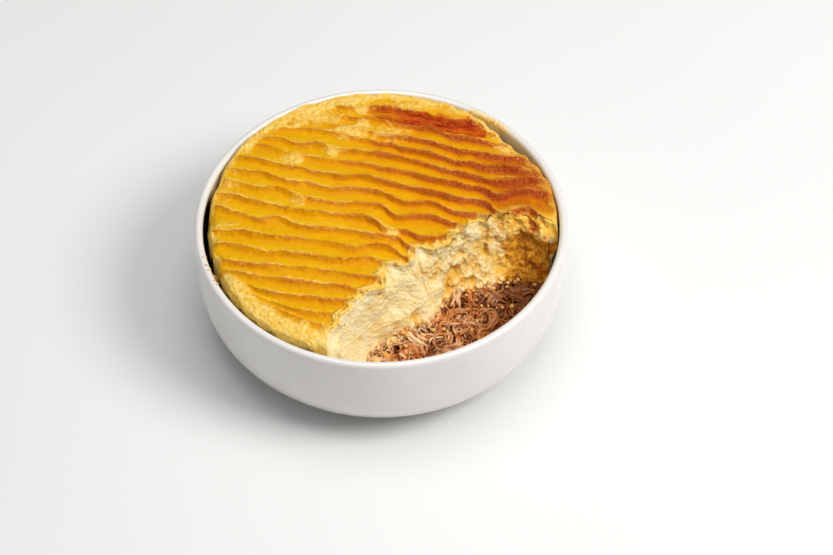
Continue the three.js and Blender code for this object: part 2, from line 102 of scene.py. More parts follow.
RIDGES = [  # the crests from back to front, each from left to right
    [(-40, 64), (-14, 61), (3, 61.5), (10, 59.5), (20, 56.5), (30, 54), (41, 53.5), (52, 50.5)],
    [(-40, 61), (-10, 57), (0, 56), (20, 53), (41, 49.5), (55, 46)],
    [(-40, 59.5), (-8, 54), (0, 53.5), (10, 50.5), (20, 48.5), (30, 44.5), (36, 43), (50, 40.5),
     (60, 38)],
    [(-45, 56.5), (-34, 54.5), (-20, 51.5), (-12, 48.5), (0, 45), (10, 43), (20, 40.5), (28, 37.5),
     (33, 35.5), (50, 33.5), (64, 33)],
    [(-52, 50.5), (-35, 49.5), (-28, 48), (-20, 46), (-12, 43), (5, 38.5), (8, 36.5), (20, 33.5),
     (30, 29.5), (40, 27.5), (63, 26.5)],
    [(-56, 46), (-40, 43), (-36, 40), (-25, 39), (-20, 36.5), (0, 33.5), (5, 32), (10, 30), (20, 27),
     (30, 23.5), (40, 20), (48, 18.5), (60, 20.5), (68, 21)],
    [(-60, 41), (-50, 40), (-42, 37), (-34, 34), (-26, 31.5), (-15, 29), (-5, 27), (5, 24), (12, 22.5),
     (20, 19.5), (30, 17), (40, 14.5), (46, 11), (49, 10.5), (53, 13), (58, 14.5), (68, 13.5)],
    [(-64, 36), (-50, 31.5), (-42, 28.5), (-35, 26), (-25, 23), (-17, 20.5), (-8, 20.5), (0, 17.5),
     (10, 15), (20, 12), (30, 8.5), (38, 8), (42, 6.5), (46, 1.5), (49, -1), (52, 1.5), (57, 4.5),
     (60, 4), (64, -0.5)],
    [(-66, 29), (-55, 25), (-48, 23.5), (-38, 18.5), (-27, 16.5), (-20, 14), (-12, 14), (0, 11.5),
     (7, 7.5), (12, 6), (21, 6), (30, 1.5), (35, 0.5), (41, 0), (50, -6.5)],
    [(-67, 22), (-60, 20), (-51, 16), (-42, 15), (-34, 11), (-28, 8.5), (-20, 6.5), (-10, 5.5),
     (-3, 5.5), (1, 3.5), (5, -1), (8, -2), (16, -1), (22, -1.5), (28, -4.5), (34, -7)],
    [(-68, 14.5), (-61, 12.5), (-50, 8), (-40, 4.5), (-30, 1.5), (-18, 0), (-7, -2), (-3, -4), (1, -8),
     (5, -9), (9, -9), (17, -12.5), (22, -13), (32, -10.5)],
    [(-69, 8.5), (-62, 4.5), (-53, 0.5), (-47, -2), (-41, -1.5), (-31, -6.5), (-18, -8), (-4, -11.5),
     (6, -12), (10, -16), (18, -21)],
    [(-70, -5), (-53, -8.5), (-38, -12.5), (-33, -12.5), (-22, -15), (-9, -18), (-1, -16.5), (4, -18),
     (14, -26.5)],
    [(-69, -12.5), (-57, -15), (-45, -19), (-38, -20), (-20, -23), (-11, -24), (-4, -23), (1, -25),
     (10, -32)],
    [(-67, -19.5), (-62, -22), (-50, -25), (-30, -28), (-10, -32), (0, -33.5), (8, -37.5)],
    [(-65, -25.5), (-50, -30.5), (-40, -32), (-25, -36), (-15, -37), (2, -44)],
    [(-63, -30), (-47, -38), (-37, -40.5), (-25, -43), (-4, -45.5)],
    [(-58, -35.5), (-50, -39.5), (-40, -45.5), (-34, -48), (-25, -50), (-9, -52.5)],
    [(-54, -40), (-40, -48), (-30, -53), (-20, -57), (-13, -59)],
    [(-48, -52), (-30, -59.5), (-20, -64.5)],
]
RIDGE_STRENGTH = [0.8, 0.3, 0.8, 0.75, *[1] * 13, 0.9, 0.6, 0.35]
RIDGE_STRIDE = 9.0  # how far apart the ridges' own noise is taken, so that each differs
FAINT = [  # places where the ridges are pressed flat and pale, the paleness partly a painted highlight: x, y, reach along each, and share
    (59.5, 26, 4.5, 1.5, 0.9), (51.5, 22.3, 6, 1.1, 0.8), (54, 5, 5, 2, 0.8),
    (-36, 31.5, 6, 4, 0.9), (-20, 35, 4, 4, 0.8), (-12, 46, 8, 4, 0.8), (-25, 56, 12, 5, 0.7),
    (4, -10.5, 3.5, 2.5, 0.9), (-62, -4, 6, 1.6, 0.6), (-33, 7, 5, 5, 0.5), (-62, 18, 5, 12, 0.45),
    (2, 49, 8, 3, 0.5), (-28, -57, 12, 4, 0.4), (52, 38, 8, 4, 0.8),
    (35, 60.5, 11, 3.8, 0.8), (14, 62, 14, 3.5, 0.7),
]

HOLLOW_EDGE = [
    (-19, -84), (-20, -62), (-15, -54), (-9, -45), (1, -37), (4, -27), (11, -27),
    (16, -19), (24, -17), (31, -8), (40, -3), (50, 0), (62, 0), (86, -12),
]
HOLLOW_FOOT = [
    (-11, -84), (-8, -62), (-5, -55), (-1, -47), (5, -42), (9, -38), (14, -34),
    (18, -26), (22, -20), (28, -16), (38, -13), (50, -12), (62, -13), (86, -20),
]
HOLLOW_MIDDLE = np.array([38, -48])
EDGE_HEIGHT = 53
EDGE_OVERRUN = 1.15
FACE_LUMP = 1.4
FACE_GRAIN = 1.7
BARE_FOOT = (0.12, 0.94)
BARE_WALL = (-98, -12)

SHRED_SEED = 5
SHRED_SPACING = 8
SHRED_LENGTH = (9, 17)
SHRED_WIDTH = (1.8, 3.2)
SHRED_THICKNESS = (1.3, 2)
SHRED_RISE = (1.5, 4.5)
SHRED_TILT = 3
SHRED_SWAY = 0.3
SHRED_DIP = 1


# ---- Numbers and noise ---------------------------------------------------------------------

def mix(low, high, share):
    """The value that lies a share of the way from low to high."""
    return low + (high - low) * share


def smooth(low, high, value):
    """0 below low, 1 above high, and 3t^2 - 2t^3 between them."""
    t = np.clip((value - low) / (high - low), 0, 1)
    return t * t * (3 - 2 * t)


def bump(distance, reach):
    """A bell of height 1: e to the minus distance over reach, squared."""
    return np.exp(-((distance / reach) ** 2))


def lattice(i, j, k, seed):
    """A repeatable number from 0 to 1 for each lattice corner: its integers multiplied and folded."""
    n = (i * 374761393 + j * 668265263 + k * 1442695041 + seed * 1274126177) & 0xFFFFFFFF
    n = ((n ^ (n >> 13)) * 1274126177) & 0xFFFFFFFF
    return ((n ^ (n >> 16)) & 0xFFFFFF) / 0xFFFFFF


def noise(points, size, seed=0):
    """Value noise from -1 to 1: lattice numbers blended over each cube of the given size."""
    q = points / size
    base = np.floor(q).astype(np.int64)
    f = q - base
    f = f * f * (3 - 2 * f)
    total = np.zeros(points.shape[:-1])
    for corner in np.ndindex(2, 2, 2):
        weight = np.prod(np.where(np.array(corner), f, 1 - f), axis=-1)
        i, j, k = (base[..., axis] + corner[axis] for axis in range(3))
        total += weight * lattice(i, j, k, seed)
    return 2 * total - 1


def noises(points, layers, start=0):
    """The start + the sum of noises, by a table of their amounts, sizes and seeds."""
    return sum((amount * noise(points, size, seed) for amount, size, seed in layers), start)


def on_plane(x, y):
    """Points at height 0, for noise that is the same all the way up."""
    return np.stack([x, y, np.zeros_like(x)], axis=-1)


def polar(radius, angle):
    """x and y of points at a radius and an angle in radians."""
    return radius * np.cos(angle), radius * np.sin(angle)


def pebbles(points, size, seed=0):
    """Rounded lumps: 1 minus the distance to the nearest of the points scattered one to each cube."""
    q = points / size
    base = np.floor(q).astype(np.int64)
    nearest = np.full(points.shape[:-1], 9.0)
    for corner in np.ndindex(3, 3, 3):
        cell = base + np.array(corner) - 1
        i, j, k = (cell[..., axis] for axis in range(3))
        centre = cell + np.stack([lattice(i, j, k, seed + axis) for axis in range(3)], axis=-1)
        nearest = np.minimum(nearest, ((q - centre) ** 2).sum(axis=-1))
    return 1 - np.sqrt(nearest)


def unevenness(x, y, z):
    """Broad lumps of crossed sine waves, from about -1 to 1."""
    broad = np.sin(0.31 * x + 0.23 * z + 1) * np.sin(0.27 * y - 0.19 * z + 2)
    return 0.65 * broad + 0.45 * np.sin(0.63 * x - 0.41 * y + 0.55 * z)


def through(points, share):
    """A centripetal Catmull-Rom curve: each stretch is a cubic, its end slopes set by the square
    roots of the distances between the four points round it."""
    points = np.asarray(points, float)
    padded = np.vstack([2 * points[0] - points[1], points, 2 * points[-1] - points[-2]])
    place = np.clip(share, 0, 1) * (len(points) - 1)
    stretch = np.minimum(place.astype(int), len(points) - 2)
    t = (place - stretch)[..., None]
    p0, p1, p2, p3 = (padded[stretch + n] for n in range(4))
    pairs = (p0, p1), (p1, p2), (p2, p3)
    d0, d1, d2 = (np.sqrt(np.linalg.norm(b - a, axis=-1, keepdims=True)) for a, b in pairs)
    start = ((p1 - p0) / d0 - (p2 - p0) / (d0 + d1) + (p2 - p1) / d1) * d1
    end = ((p2 - p1) / d1 - (p3 - p1) / (d1 + d2) + (p3 - p2) / d2) * d1
    cubic = 2 * p1 - 2 * p2 + start + end
    square = -3 * p1 + 3 * p2 - 2 * start - end
    return p1 + start * t + square * t ** 2 + cubic * t ** 3


def inner_radius(height):
    """The bowl's inner wall: upright above the corner, a quarter ellipse below."""
    fall = np.clip((CORNER_TOP - height) / (CORNER_TOP - INNER_FLOOR), 0, 1)
    upright = WALL_TAPER * np.maximum(height - CORNER_TOP, 0)
    return CORNER_CENTRE + INNER_CORNER_REACH * np.sqrt(1 - fall ** 2) + upright


def keep_in_bowl(points, clearance=GAP):
    """Pulls points that lie beyond the bowl's inner wall straight in to it, less a clearance."""
    radius = np.hypot(points[..., 0], points[..., 1])
    limit = inner_radius(points[..., 2]) - clearance
    scale = np.minimum(1, limit / np.maximum(radius, 1e-6))
    return points * np.stack([scale, scale, np.ones_like(scale)], axis=-1)


# ---- Meshes --------------------------------------------------------------------------------

def quads_between(numbers):
    """Quads between the neighbours in a grid of vertex numbers. They face out where the direction
    down the rows x the one along the columns does."""
    corners = numbers[:-1, :-1], numbers[1:, :-1], numbers[1:, 1:], numbers[:-1, 1:]
    return np.stack(corners, axis=-1).reshape(-1, 4)


def grid_faces(rows, columns, wrap_rows=False, wrap_columns=False):
    """The same for a grid numbered row by row, joined up at its ends where asked."""
    numbers = np.arange(rows * columns).reshape(rows, columns)
    if wrap_rows:
        numbers = np.vstack([numbers, numbers[:1]])
    if wrap_columns:
        numbers = np.hstack([numbers, numbers[:, :1]])
    return quads_between(numbers)


def fan(centre, loop):
    """Triangles from a centre vertex to each edge of a loop of vertices, in the loop's sense."""
    loop = np.asarray(loop)
    return np.stack([np.full(len(loop), centre), loop, np.roll(loop, -1)], axis=-1)


def tube_faces(rows, columns):
    """A grid wrapped round, with a fan at each end to the two vertices that follow the grid's."""
    first, size = np.arange(columns), rows * columns
    return [grid_faces(rows, columns, wrap_columns=True), fan(size, first),
            fan(size + 1, (first + size - columns)[::-1])]


def many_tubes(rows, columns, count):
    """The faces of a number of such tubes, whose vertices follow one another."""
    quads, *tips = tube_faces(rows, columns)
    shift = (np.arange(count) * (rows * columns + 2))[:, None, None]
    return [(quads + shift).reshape(-1, 4), (np.vstack(tips) + shift).reshape(-1, 3)]


def piece(name, points, faces, material, replaced=(), values=None, uv=None):
    mesh = bpy.data.meshes.new(name)
    corners = [row for part in faces for row in np.asarray(part).tolist()]
    mesh.from_pydata((points.reshape(-1, 3) * MM).tolist(), [], corners)
    mesh.polygons.foreach_set("use_smooth", np.ones(len(mesh.polygons), bool))
    for key, numbers in (values or {}).items():
        layer = mesh.attributes.new(key, "FLOAT", "POINT")
        layer.data.foreach_set("value", np.ascontiguousarray(numbers, np.float32).ravel())
    if uv is not None:
        corner_vertices = np.empty(len(mesh.loops), np.int32)
        mesh.loops.foreach_get("vertex_index", corner_vertices)
        layer = mesh.uv_layers.new(name="grain")
        layer.data.foreach_set("uv", uv.reshape(-1, 2)[corner_vertices].astype(np.float32).ravel())
    mesh.update()
    thing = bpy.data.objects.new(name, mesh)
    bpy.context.collection.objects.link(thing)
    mesh.materials.append(material)
    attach(thing, "root")
    if replaced:
        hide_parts(*replaced)
    return thing


# ---- Materials -----------------------------------------------------------------------------

def srgb(red, green, blue):
    """The linear colour of a display colour given from 0 to 255."""
    share = np.array([red, green, blue]) / 255
    linear = np.where(share <= 0.04045, share / 12.92, ((share + 0.055) / 1.055) ** 2.4)
    return (*linear.tolist(), 1.0)


class Finish:
    """A node material, with short calls for the nodes that its colours and relief are mixed from."""

    def __init__(self, name, **shader):
        """A new material, with its shader's sockets set."""
        self.material = bpy.data.materials.new(name)
        self.material.use_nodes = True
        self.tree = self.material.node_tree
        self.shader = self.tree.nodes["Principled BSDF"]
        self.finish(**shader)

    def feed(self, socket, value):
        """Links a socket to another node's output, or sets it to a value."""
        if isinstance(value, bpy.types.NodeSocket):
            self.tree.links.new(value, socket)
        else:
            socket.default_value = value

    def add(self, kind, inputs, output=0, **settings):
        """One node with its settings and inputs, as one of its outputs."""
        node = self.tree.nodes.new(kind)
        for key, value in settings.items():
            setattr(node, key, value)
        for key, value in inputs.items():
            self.feed(node.inputs[key], value)
        return node.outputs[output]

    def value(self, name):
        """The number that each vertex holds under a name."""
        return self.add("ShaderNodeAttribute", {}, "Fac", attribute_name=name)

    def place(self, scale=(1, 1, 1)):
        """The place on the piece, times a scale along each axis."""
        where = self.add("ShaderNodeTexCoord", {}, "Object")
        return self.add("ShaderNodeMapping", {"Vector": where, "Scale": scale})

    def noise(self, size_mm, where=None, detail=3, roughness=0.55):
        """Layered noise from 0 to 1, its broadest layer of a size."""
        return self.add("ShaderNodeTexNoise", {
            "Vector": where or self.place(), "Scale": 1 / (size_mm * MM), "Detail": detail,
            "Roughness": roughness}, "Fac")

    def cells(self, size_mm):
        """The distance to the nearest of the points scattered one to each cell."""
        return self.add("ShaderNodeTexVoronoi", {
            "Vector": self.place(), "Scale": 1 / (size_mm * MM)}, "Distance")

    def span(self, value, low, high, start=0.0, end=1.0):
        """A value from low to high brought in proportion to start to end, and held there."""
        return self.add("ShaderNodeMapRange", {
            "Value": value, "From Min": low, "From Max": high, "To Min": start, "To Max": end},
            clamp=True)

    def maths(self, kind, first, second):
        """One operation on two numbers."""
        return self.add("ShaderNodeMath", {0: first, 1: second}, operation=kind)

    def plus(self, first, second):
        """first + second."""
        return self.maths("ADD", first, second)

    def times(self, first, second):
        """first x second."""
        return self.maths("MULTIPLY", first, second)

    def swing(self, share, amount=1.0):
        """A share from 0 to 1 turned into a swing about 0."""
        return self.times(self.maths("SUBTRACT", share, 0.5), amount)

    def blend(self, share, first, second):
        """Two colours mixed, each another mix or a display colour from 0 to 255."""
        first, second = (srgb(*c) if isinstance(c, tuple) else c for c in (first, second))
        return self.add("ShaderNodeMix", {0: share, 6: first, 7: second}, 2, data_type="RGBA")

    def mottle(self, size_mm, first, second, low=0.35, high=0.65, **settings):
        """Two colours in blotches of a size."""
        return self.blend(self.span(self.noise(size_mm, **settings), low, high), first, second)

    def relief(self, height, depth_mm, under=None):
        """Shading as if the surface rose by a depth times the height, over another such relief."""
        inputs = {"Height": height, "Strength": 1.0, "Distance": depth_mm * MM}
        if under is not None:
            inputs["Normal"] = under
        return self.add("ShaderNodeBump", inputs)

    def finish(self, **sockets):
        """Feeds the shader's sockets, with _ for a space in their names."""
        for key, value in sockets.items():
            self.feed(self.shader.inputs[key.replace("_", " ")], value)
        return self.material


def porcelain_glaze():
    """White glaze, faintly cloudy and with the slightest orange-peel, painted near black where the mash
    has shrunk from the wall, as baked residue and painted shade of the deep gap, and smeared with mash
    at the rim."""
    f = Finish("porcelain_glaze", Coat_Weight=0.6, Coat_Roughness=0.04)
    colour = f.mottle(30, (226, 223, 219), (233, 231, 227), 0.3, 0.7, detail=2)
    baked_and_gap_shade = f.span(f.plus(f.value("baked_and_gap_shade"), f.swing(f.noise(2), 0.8)), 0.35, 0.7)
    # near black in the gap where the mash has shrunk from the wall: baked residue and painted shade
    colour = f.blend(baked_and_gap_shade, colour, (44, 18, 6))
    smeared = f.plus(f.value("smear"), f.swing(f.noise(1.6, detail=4), 1.6))
    mash = f.mottle(1.2, (236, 192, 110), (250, 228, 166))
    colour = f.blend(f.span(smeared, 0.45, 0.65), colour, mash)
    rough = f.span(f.noise(12), 0.3, 0.7, 0.16, 0.24)
    return f.finish(Base_Color=colour, Roughness=rough, Normal=f.relief(f.noise(6, detail=1), 0.01))


def browned_crust():
    """Egg-yellow furrows, painted deeper in front of each ridge and lighter behind it as shading from a
    light behind, with a painted highlight along the back of each crest, grainy browned crests that are
    wider and redder where the oven was hotter, a roasted patch, a pale rough border with a painted
    highlight and painted sheen in places, and the side against the wall painted near black as burnt
    crust and shade."""
    f = Finish("browned_crust", Coat_Weight=0.03, Coat_Roughness=0.3, Specular_IOR_Level=0.06)
    fine = f.noise(0.6, roughness=0.75)
    speckle = f.swing(fine)
    heat, scorch = f.value("oven"), f.value("scorch")
    # painted shading across each furrow: darker in front of each ridge, lighter up the gentle rise to
    # the next, as if lit from behind
    hollow_shade = f.mottle(15, (226, 160, 0), (232, 170, 0), 0.42, 0.68, detail=2)
    hollow_shade = f.blend(heat, hollow_shade, (220, 148, 0))
    light = f.mottle(4, (228, 176, 0), (236, 193, 38), where=f.place((0.22, 1, 1)), detail=4)
    light = f.blend(heat, light, (232, 172, 18))
    colour = f.blend(f.value("lit_rise"), hollow_shade, light)
    thread = f.span(f.noise(0.9, f.place((0.12, 1, 1)), detail=2), 0.45, 0.75, 0, 0.3)
    colour = f.blend(thread, colour, (202, 130, 0))
    amber = f.blend(heat, (226, 148, 0), (204, 108, 0))
    colour = f.blend(f.times(f.value("glow"), f.span(heat, 0, 1, 0.6, 0.9)), colour, amber)
    cooked = f.times(scorch, f.span(f.noise(3.5), 0.3, 0.65, 0.55, 1.0))
    colour = f.blend(cooked, colour, (186, 92, 10))
    # painted highlight: a pale line along the back of each crest
    lip = f.times(f.value("lip"), f.span(fine, 0.3, 0.6))
    lip_highlight = f.blend(heat, (252, 212, 122), (244, 184, 120))
    colour = f.blend(f.times(lip, 0.8), colour, lip_highlight)
    grainy = f.span(f.plus(f.value("crest"), f.times(speckle, 2.6)), 0.25, 0.9)
    toast = f.mottle(1.8, (210, 108, 8), (234, 158, 62))
    ember = f.mottle(1.1, (168, 62, 14), (216, 124, 58))
    ember = f.blend(f.times(scorch, 0.5), ember, (160, 54, 14))
    brown = f.blend(f.span(heat, 0.15, 1.0), toast, ember)
    colour = f.blend(f.times(grainy, 0.95), colour, brown)
    red = f.mottle(2.2, (158, 34, 0), (206, 90, 20), where=f.place((0.35, 1, 1)))
    patch = f.plus(f.value("roast"), f.times(speckle, 0.7))
    colour = f.blend(f.span(patch, 0.2, 0.9), colour, red)
    cream = f.mottle(1.6, (246, 186, 44), (255, 226, 136), 0.3, 0.7)
    cream = f.blend(scorch, cream, (222, 156, 52))
    ragged = f.span(f.plus(f.value("pale"), f.swing(f.noise(2.2), 1.2)), 0.25, 0.8)
    ragged = f.times(ragged, f.span(grainy, 0, 1, 1.0, 0.45))
    colour = f.blend(ragged, colour, cream)
    speck = f.span(f.cells(6), 0.03, 0.055, 1, 0)
    colour = f.blend(f.times(speck, 0.75), colour, (84, 42, 8))
    # near black on the mash's side against the bowl's wall: burnt crust and painted shade of the gap
    colour = f.blend(f.value("burnt_and_gap_shade"), colour, (60, 26, 6))
    rough = f.plus(f.span(grainy, 0, 1, 0.4, 0.65), f.times(ragged, 0.2))
    crumbly = f.relief(f.times(f.noise(1.3), ragged), 0.7)
    depth = f.plus(f.times(f.maths("MAXIMUM", grainy, ragged), 0.8), 0.25)
    grain = f.relief(f.times(fine, depth), 0.3, crumbly)
    return f.finish(Base_Color=colour, Roughness=rough, Normal=grain)


def broken_mash():
    """Cream mash where it is broken, ochre in its hollows as painted shade, yellow under the crust's
    edge, golden-brown where gravy has soaked it and, at the right near the wall, also as painted shadow,
    and reddened in places."""
    f = Finish("broken_mash", Roughness=0.6, Subsurface_Weight=0.42, Subsurface_Scale=0.0018,
               Subsurface_Radius=(1.0, 0.85, 0.6), Coat_Weight=0.05, Coat_Roughness=0.3,
               Specular_IOR_Level=0.2)
    wobble = f.swing(f.noise(1.3))
    colour = f.mottle(4, (252, 224, 158), (255, 234, 186))
    for name, waver, low, high, layer in [
        ("hollow_shade", 0.5, 0.3, 1.0, f.mottle(2.5, (232, 170, 36), (250, 214, 116), 0.3, 0.7)),
        ("yolk", 1.0, 0.3, 0.9, f.mottle(1.5, (246, 174, 36), (254, 212, 104))),
        ("gravy_and_shade", 0.6, 0.3, 0.7, f.mottle(2.4, (170, 96, 8), (244, 178, 50), detail=4)),
        ("ember", 1.0, 0.35, 0.8, f.mottle(1.8, (178, 62, 10), (226, 130, 24))),
    ]:
        share = f.span(f.plus(f.value(name), f.times(wobble, waver)), low, high)
        colour = f.blend(share, colour, layer)
    flakes = f.relief(f.noise(1.5, f.place((0.45, 0.7, 1)), roughness=0.6), 0.5)
    grain = f.relief(f.noise(0.6, detail=4, roughness=0.7), 0.28, flakes)
    return f.finish(Base_Color=colour, Normal=grain)


def gravy_meat():
    """Gravy-soaked meat between the shreds, painted darkest in its hollows and down its side, as shade.
    """
    f = Finish("gravy_meat", Coat_Weight=0.1, Coat_Roughness=0.35, Specular_IOR_Level=0.3)
    colour = f.blend(f.value("hollow_shade"), f.mottle(2.4, (62, 20, 2), (146, 74, 18), detail=4), (40, 12, 3))
    return f.finish(Base_Color=colour, Roughness=f.span(f.noise(1.5), 0.3, 0.7, 0.45, 0.65),
                    Normal=f.relief(f.noise(0.8, detail=4), 0.5))


def meat_fibre():
    """Moist orange-brown fibres, streaked along each shred, lighter on some at random and, as painted
    light, on those that stand high, darker low down as painted shade, and darker to the right as painted
    shadow of the bowl's right wall.
    """
    f = Finish("meat_fibre", Coat_Weight=0.22, Coat_Roughness=0.3, Specular_IOR_Level=0.35,
               Subsurface_Weight=0.06, Subsurface_Scale=0.0015)
    along = f.add("ShaderNodeUVMap", {}, uv_map="grain")
    streak = f.add("ShaderNodeTexNoise", {"Vector": along, "Scale": 1.0, "Detail": 3.0}, "Fac")
    share = f.span(streak, 0.3, 0.7)
    dark = f.blend(share, (168, 78, 6), (228, 130, 26))
    light = f.blend(share, (246, 192, 122), (255, 238, 206))
    # shade: painted shadow of the bowl's right wall
    colour = f.blend(f.value("shade"), f.blend(f.value("tone"), dark, light), (76, 30, 6))
    return f.finish(Base_Color=colour, Roughness=f.span(streak, 0.3, 0.7, 0.35, 0.55),
                    Normal=f.relief(streak, 0.4))


def cream_crumb():
    """Loose crumbs of mash, cream to buff, and golden where their tone is below 0."""
    f = Finish("cream_crumb", Roughness=0.6, Subsurface_Weight=0.15, Subsurface_Scale=0.002)
    tone = f.value("tone")
    colour = f.blend(f.span(tone, 0, 1), (220, 150, 56), (250, 212, 136))
    colour = f.blend(f.span(tone, 0, -0.5), colour, (206, 112, 20))
    return f.finish(Base_Color=colour, Normal=f.relief(f.noise(0.5), 0.2))


# ---- Bowl ----------------------------------------------------------------------------------

AROUND_BOWL = 288
CORNER_STEPS = 20
LIP_STEPS = 14
WALL_STEPS = 12
SHADED_GAP_TO = 48.6  # height up to which the wall is painted near black where the mash has shrunk away: baked residue and painted shade of the gap
SHADED_GAP_AT = (192, 32)  # bearing and half width
SMEARED_AT = (51, 10)


def bowl():
    """A profile turned about Z: foot ring, quarter-elliptical corner, upright wall, half-round lip
    and the same again inside."""
    quarter = np.linspace(0, np.pi / 2, CORNER_STEPS)
    outer = np.stack([CORNER_CENTRE + CORNER_REACH * np.sin(quarter),
                      CORNER_TOP - (CORNER_TOP - BASE_HEIGHT) * np.cos(quarter)], axis=-1)
    inner = np.stack([CORNER_CENTRE + INNER_CORNER_REACH * np.sin(quarter),
                      CORNER_TOP - (CORNER_TOP - INNER_FLOOR) * np.cos(quarter)], axis=-1)[::-1]
    inside = inner_radius(BOWL_HEIGHT)
    half = np.linspace(0, np.pi, LIP_STEPS)
    lip = np.stack([(RIM_RADIUS + inside) / 2 + (RIM_RADIUS - inside) / 2 * np.cos(half),
                    BOWL_HEIGHT - LIP_RADIUS + LIP_RADIUS * np.sin(half)], axis=-1)
    foot = [(FOOT_INNER_RADIUS - FOOT_RECESS, FOOT_RECESS), (FOOT_INNER_RADIUS - 0.3, 0.3),
            (FOOT_INNER_RADIUS, 0), (FOOT_OUTER_RADIUS - 0.4, 0), (FOOT_OUTER_RADIUS, 0.4),
            (FOOT_OUTER_RADIUS + 0.8, BASE_HEIGHT - 0.3), (FOOT_OUTER_RADIUS + 1.2, BASE_HEIGHT)]
    upright = np.linspace(BOWL_HEIGHT - LIP_RADIUS, CORNER_TOP, WALL_STEPS + 2)[1:-1]
    wall = np.stack([inner_radius(upright), upright], axis=-1)
    profile = np.vstack([foot, outer, lip, wall, inner])
    angle = np.linspace(0, 2 * np.pi, AROUND_BOWL, endpoint=False)
    rings = np.stack([*polar(profile[:, :1], angle),
                      np.repeat(profile[:, 1:], AROUND_BOWL, axis=1)], axis=-1)
    points = np.vstack([rings.reshape(-1, 3), [[0, 0, FOOT_RECESS], [0, 0, INNER_FLOOR]]])
    x, y, z = points.T
    radius = np.hypot(x, y)
    # painted shade, with baked residue, on the inner wall in the gap where the mash has shrunk away
    shrunk = smooth(0.3, 0.7, around(x, y, *SHADED_GAP_AT))
    baked_and_gap_shade = shrunk * smooth(SHADED_GAP_TO, SHADED_GAP_TO - 1.2, z) * (radius < inner_radius(z) + 0.2)
    smear = around(x, y, *SMEARED_AT) * smooth(69.5, 71, radius) * smooth(74, 72.8, radius)
    smear = smear * smooth(BOWL_HEIGHT - 4, BOWL_HEIGHT - 2, z)
    rows = len(profile)
    first, last = np.arange(AROUND_BOWL), np.arange(AROUND_BOWL) + (rows - 1) * AROUND_BOWL
    faces = [grid_faces(rows, AROUND_BOWL, wrap_columns=True)[:, ::-1],
             fan(rows * AROUND_BOWL, first[::-1]), fan(rows * AROUND_BOWL + 1, last)]
    return piece("bowl", points, faces, porcelain_glaze(), ["dish"],
                 {"baked_and_gap_shade": baked_and_gap_shade, "smear": smear})


# ---- Hollow --------------------------------------------------------------------------------

EDGE_LEVEL = CROWN_EDGE + 2  # height at which the hollow's edge is traced
TRACE = (0.07, 1, 1200)  # where along the hollow a look-up starts and ends, and its places
TEAR_TRACE = (0.05, 1, 160)


def hollow_wall(along, height):
    """The hollow's lumpy wall: between the foot curve and the edge curve in proportion to height,
    pushed towards the hollow's middle by the unevenness there."""
    edge, foot = through(HOLLOW_EDGE, along), through(HOLLOW_FOOT, along)
    rise = np.clip((height - MEAT_TOP) / (EDGE_HEIGHT - MEAT_TOP), 0, EDGE_OVERRUN)
    place = mix(foot, edge, rise[..., None])
    inwards = HOLLOW_MIDDLE - place
    inwards = inwards / np.linalg.norm(inwards, axis=-1, keepdims=True)
    g = FACE_GRAIN
    lump = FACE_LUMP * unevenness(place[..., 0] * g, place[..., 1] * g, height * g)
    return place + inwards * lump[..., None], inwards


def curve_height(height):
    """The hollow's wall at one height, as x in rising order and y, for looking up y by x."""
    along = np.linspace(*TRACE)
    line, _ = hollow_wall(along, np.full(along.shape, float(height)))
    return np.maximum.accumulate(line[:, 0]), line[:, 1]


EDGE_X, EDGE_Y = curve_height(EDGE_LEVEL)
FOOT_X, FOOT_Y = curve_height(MEAT_TOP)


def inside_hollow(x, y, line_x, line_y):
    """How far in mm a point lies within the hollow, measured along Y, negative outside."""
    depth = np.interp(x, line_x, line_y) - y
    return np.where(x > line_x[0], depth, np.minimum(depth, x - line_x[0]))


def edge_distance(x, y):
    """How far in mm a point lies from the nearest of the places along the hollow's edge."""
    along = np.linspace(*TEAR_TRACE)
    line, _ = hollow_wall(along, np.full(along.shape, EDGE_LEVEL))
    nearest = np.full(x.shape, 1e6)
    for edge_x, edge_y in line:
        nearest = np.minimum(nearest, (x - edge_x) ** 2 + (y - edge_y) ** 2)
    return np.sqrt(nearest)


# ---- Crust ---------------------------------------------------------------------------------

ROW_SPACING = 0.34
CRUST_COLUMNS = 190
SKIRT_STEPS = 5
SKIRT_SET_BACK = 3.2  # how far the side under the hollow's edge stands back behind the broken face
RIGHT_RETREAT = 0.9  # the most by which a row's right end falls short of that of the row behind
END_CROWDING = 0.4  # how much closer the columns stand at a row's ends
LEAST_GAP = 1.2  # between two crests
ROUND_OVER = 0.6  # mm over which the ridged top melts into the shoulder
RUN_ON = 18.0  # how far the ridged block runs on behind the first crest and before the last
EXTENT = 90  # how far to each side the ridges are known
COURSE_PLACES = 400  # along one crest
LOOK_UPS = 3601  # x at which the crests are known
SCAN_STEPS = 1500  # places at which a row is tried for its two ends
SHORTEST_ROW = 40  # in such places
EDGE_PULL = 0.996  # how much of the way back to the hollow's edge a point beyond it is brought
UNDER_CRUST = (-15, 20)  # where the mash's flat foot is closed
WAVER_RADIUS, WAVER_HEIGHT = 71, 45.0  # where the roughness of the mash's outline is taken


def ridge_course(points):
    """y by x along one crest: a curve through its points, carried on straight at the usual slant."""
    curve = through(points, np.linspace(0, 1, COURSE_PLACES))
    steps = np.array([-EXTENT, EXTENT])
    ends = curve[[0, -1], 1] - RIDGE_SLANT * (steps - curve[[0, -1], 0])
    x = np.concatenate([steps[:1], np.maximum.accumulate(curve[:, 0]), steps[1:]])
    return x, np.concatenate([ends[:1], curve[:, 1], ends[1:]])


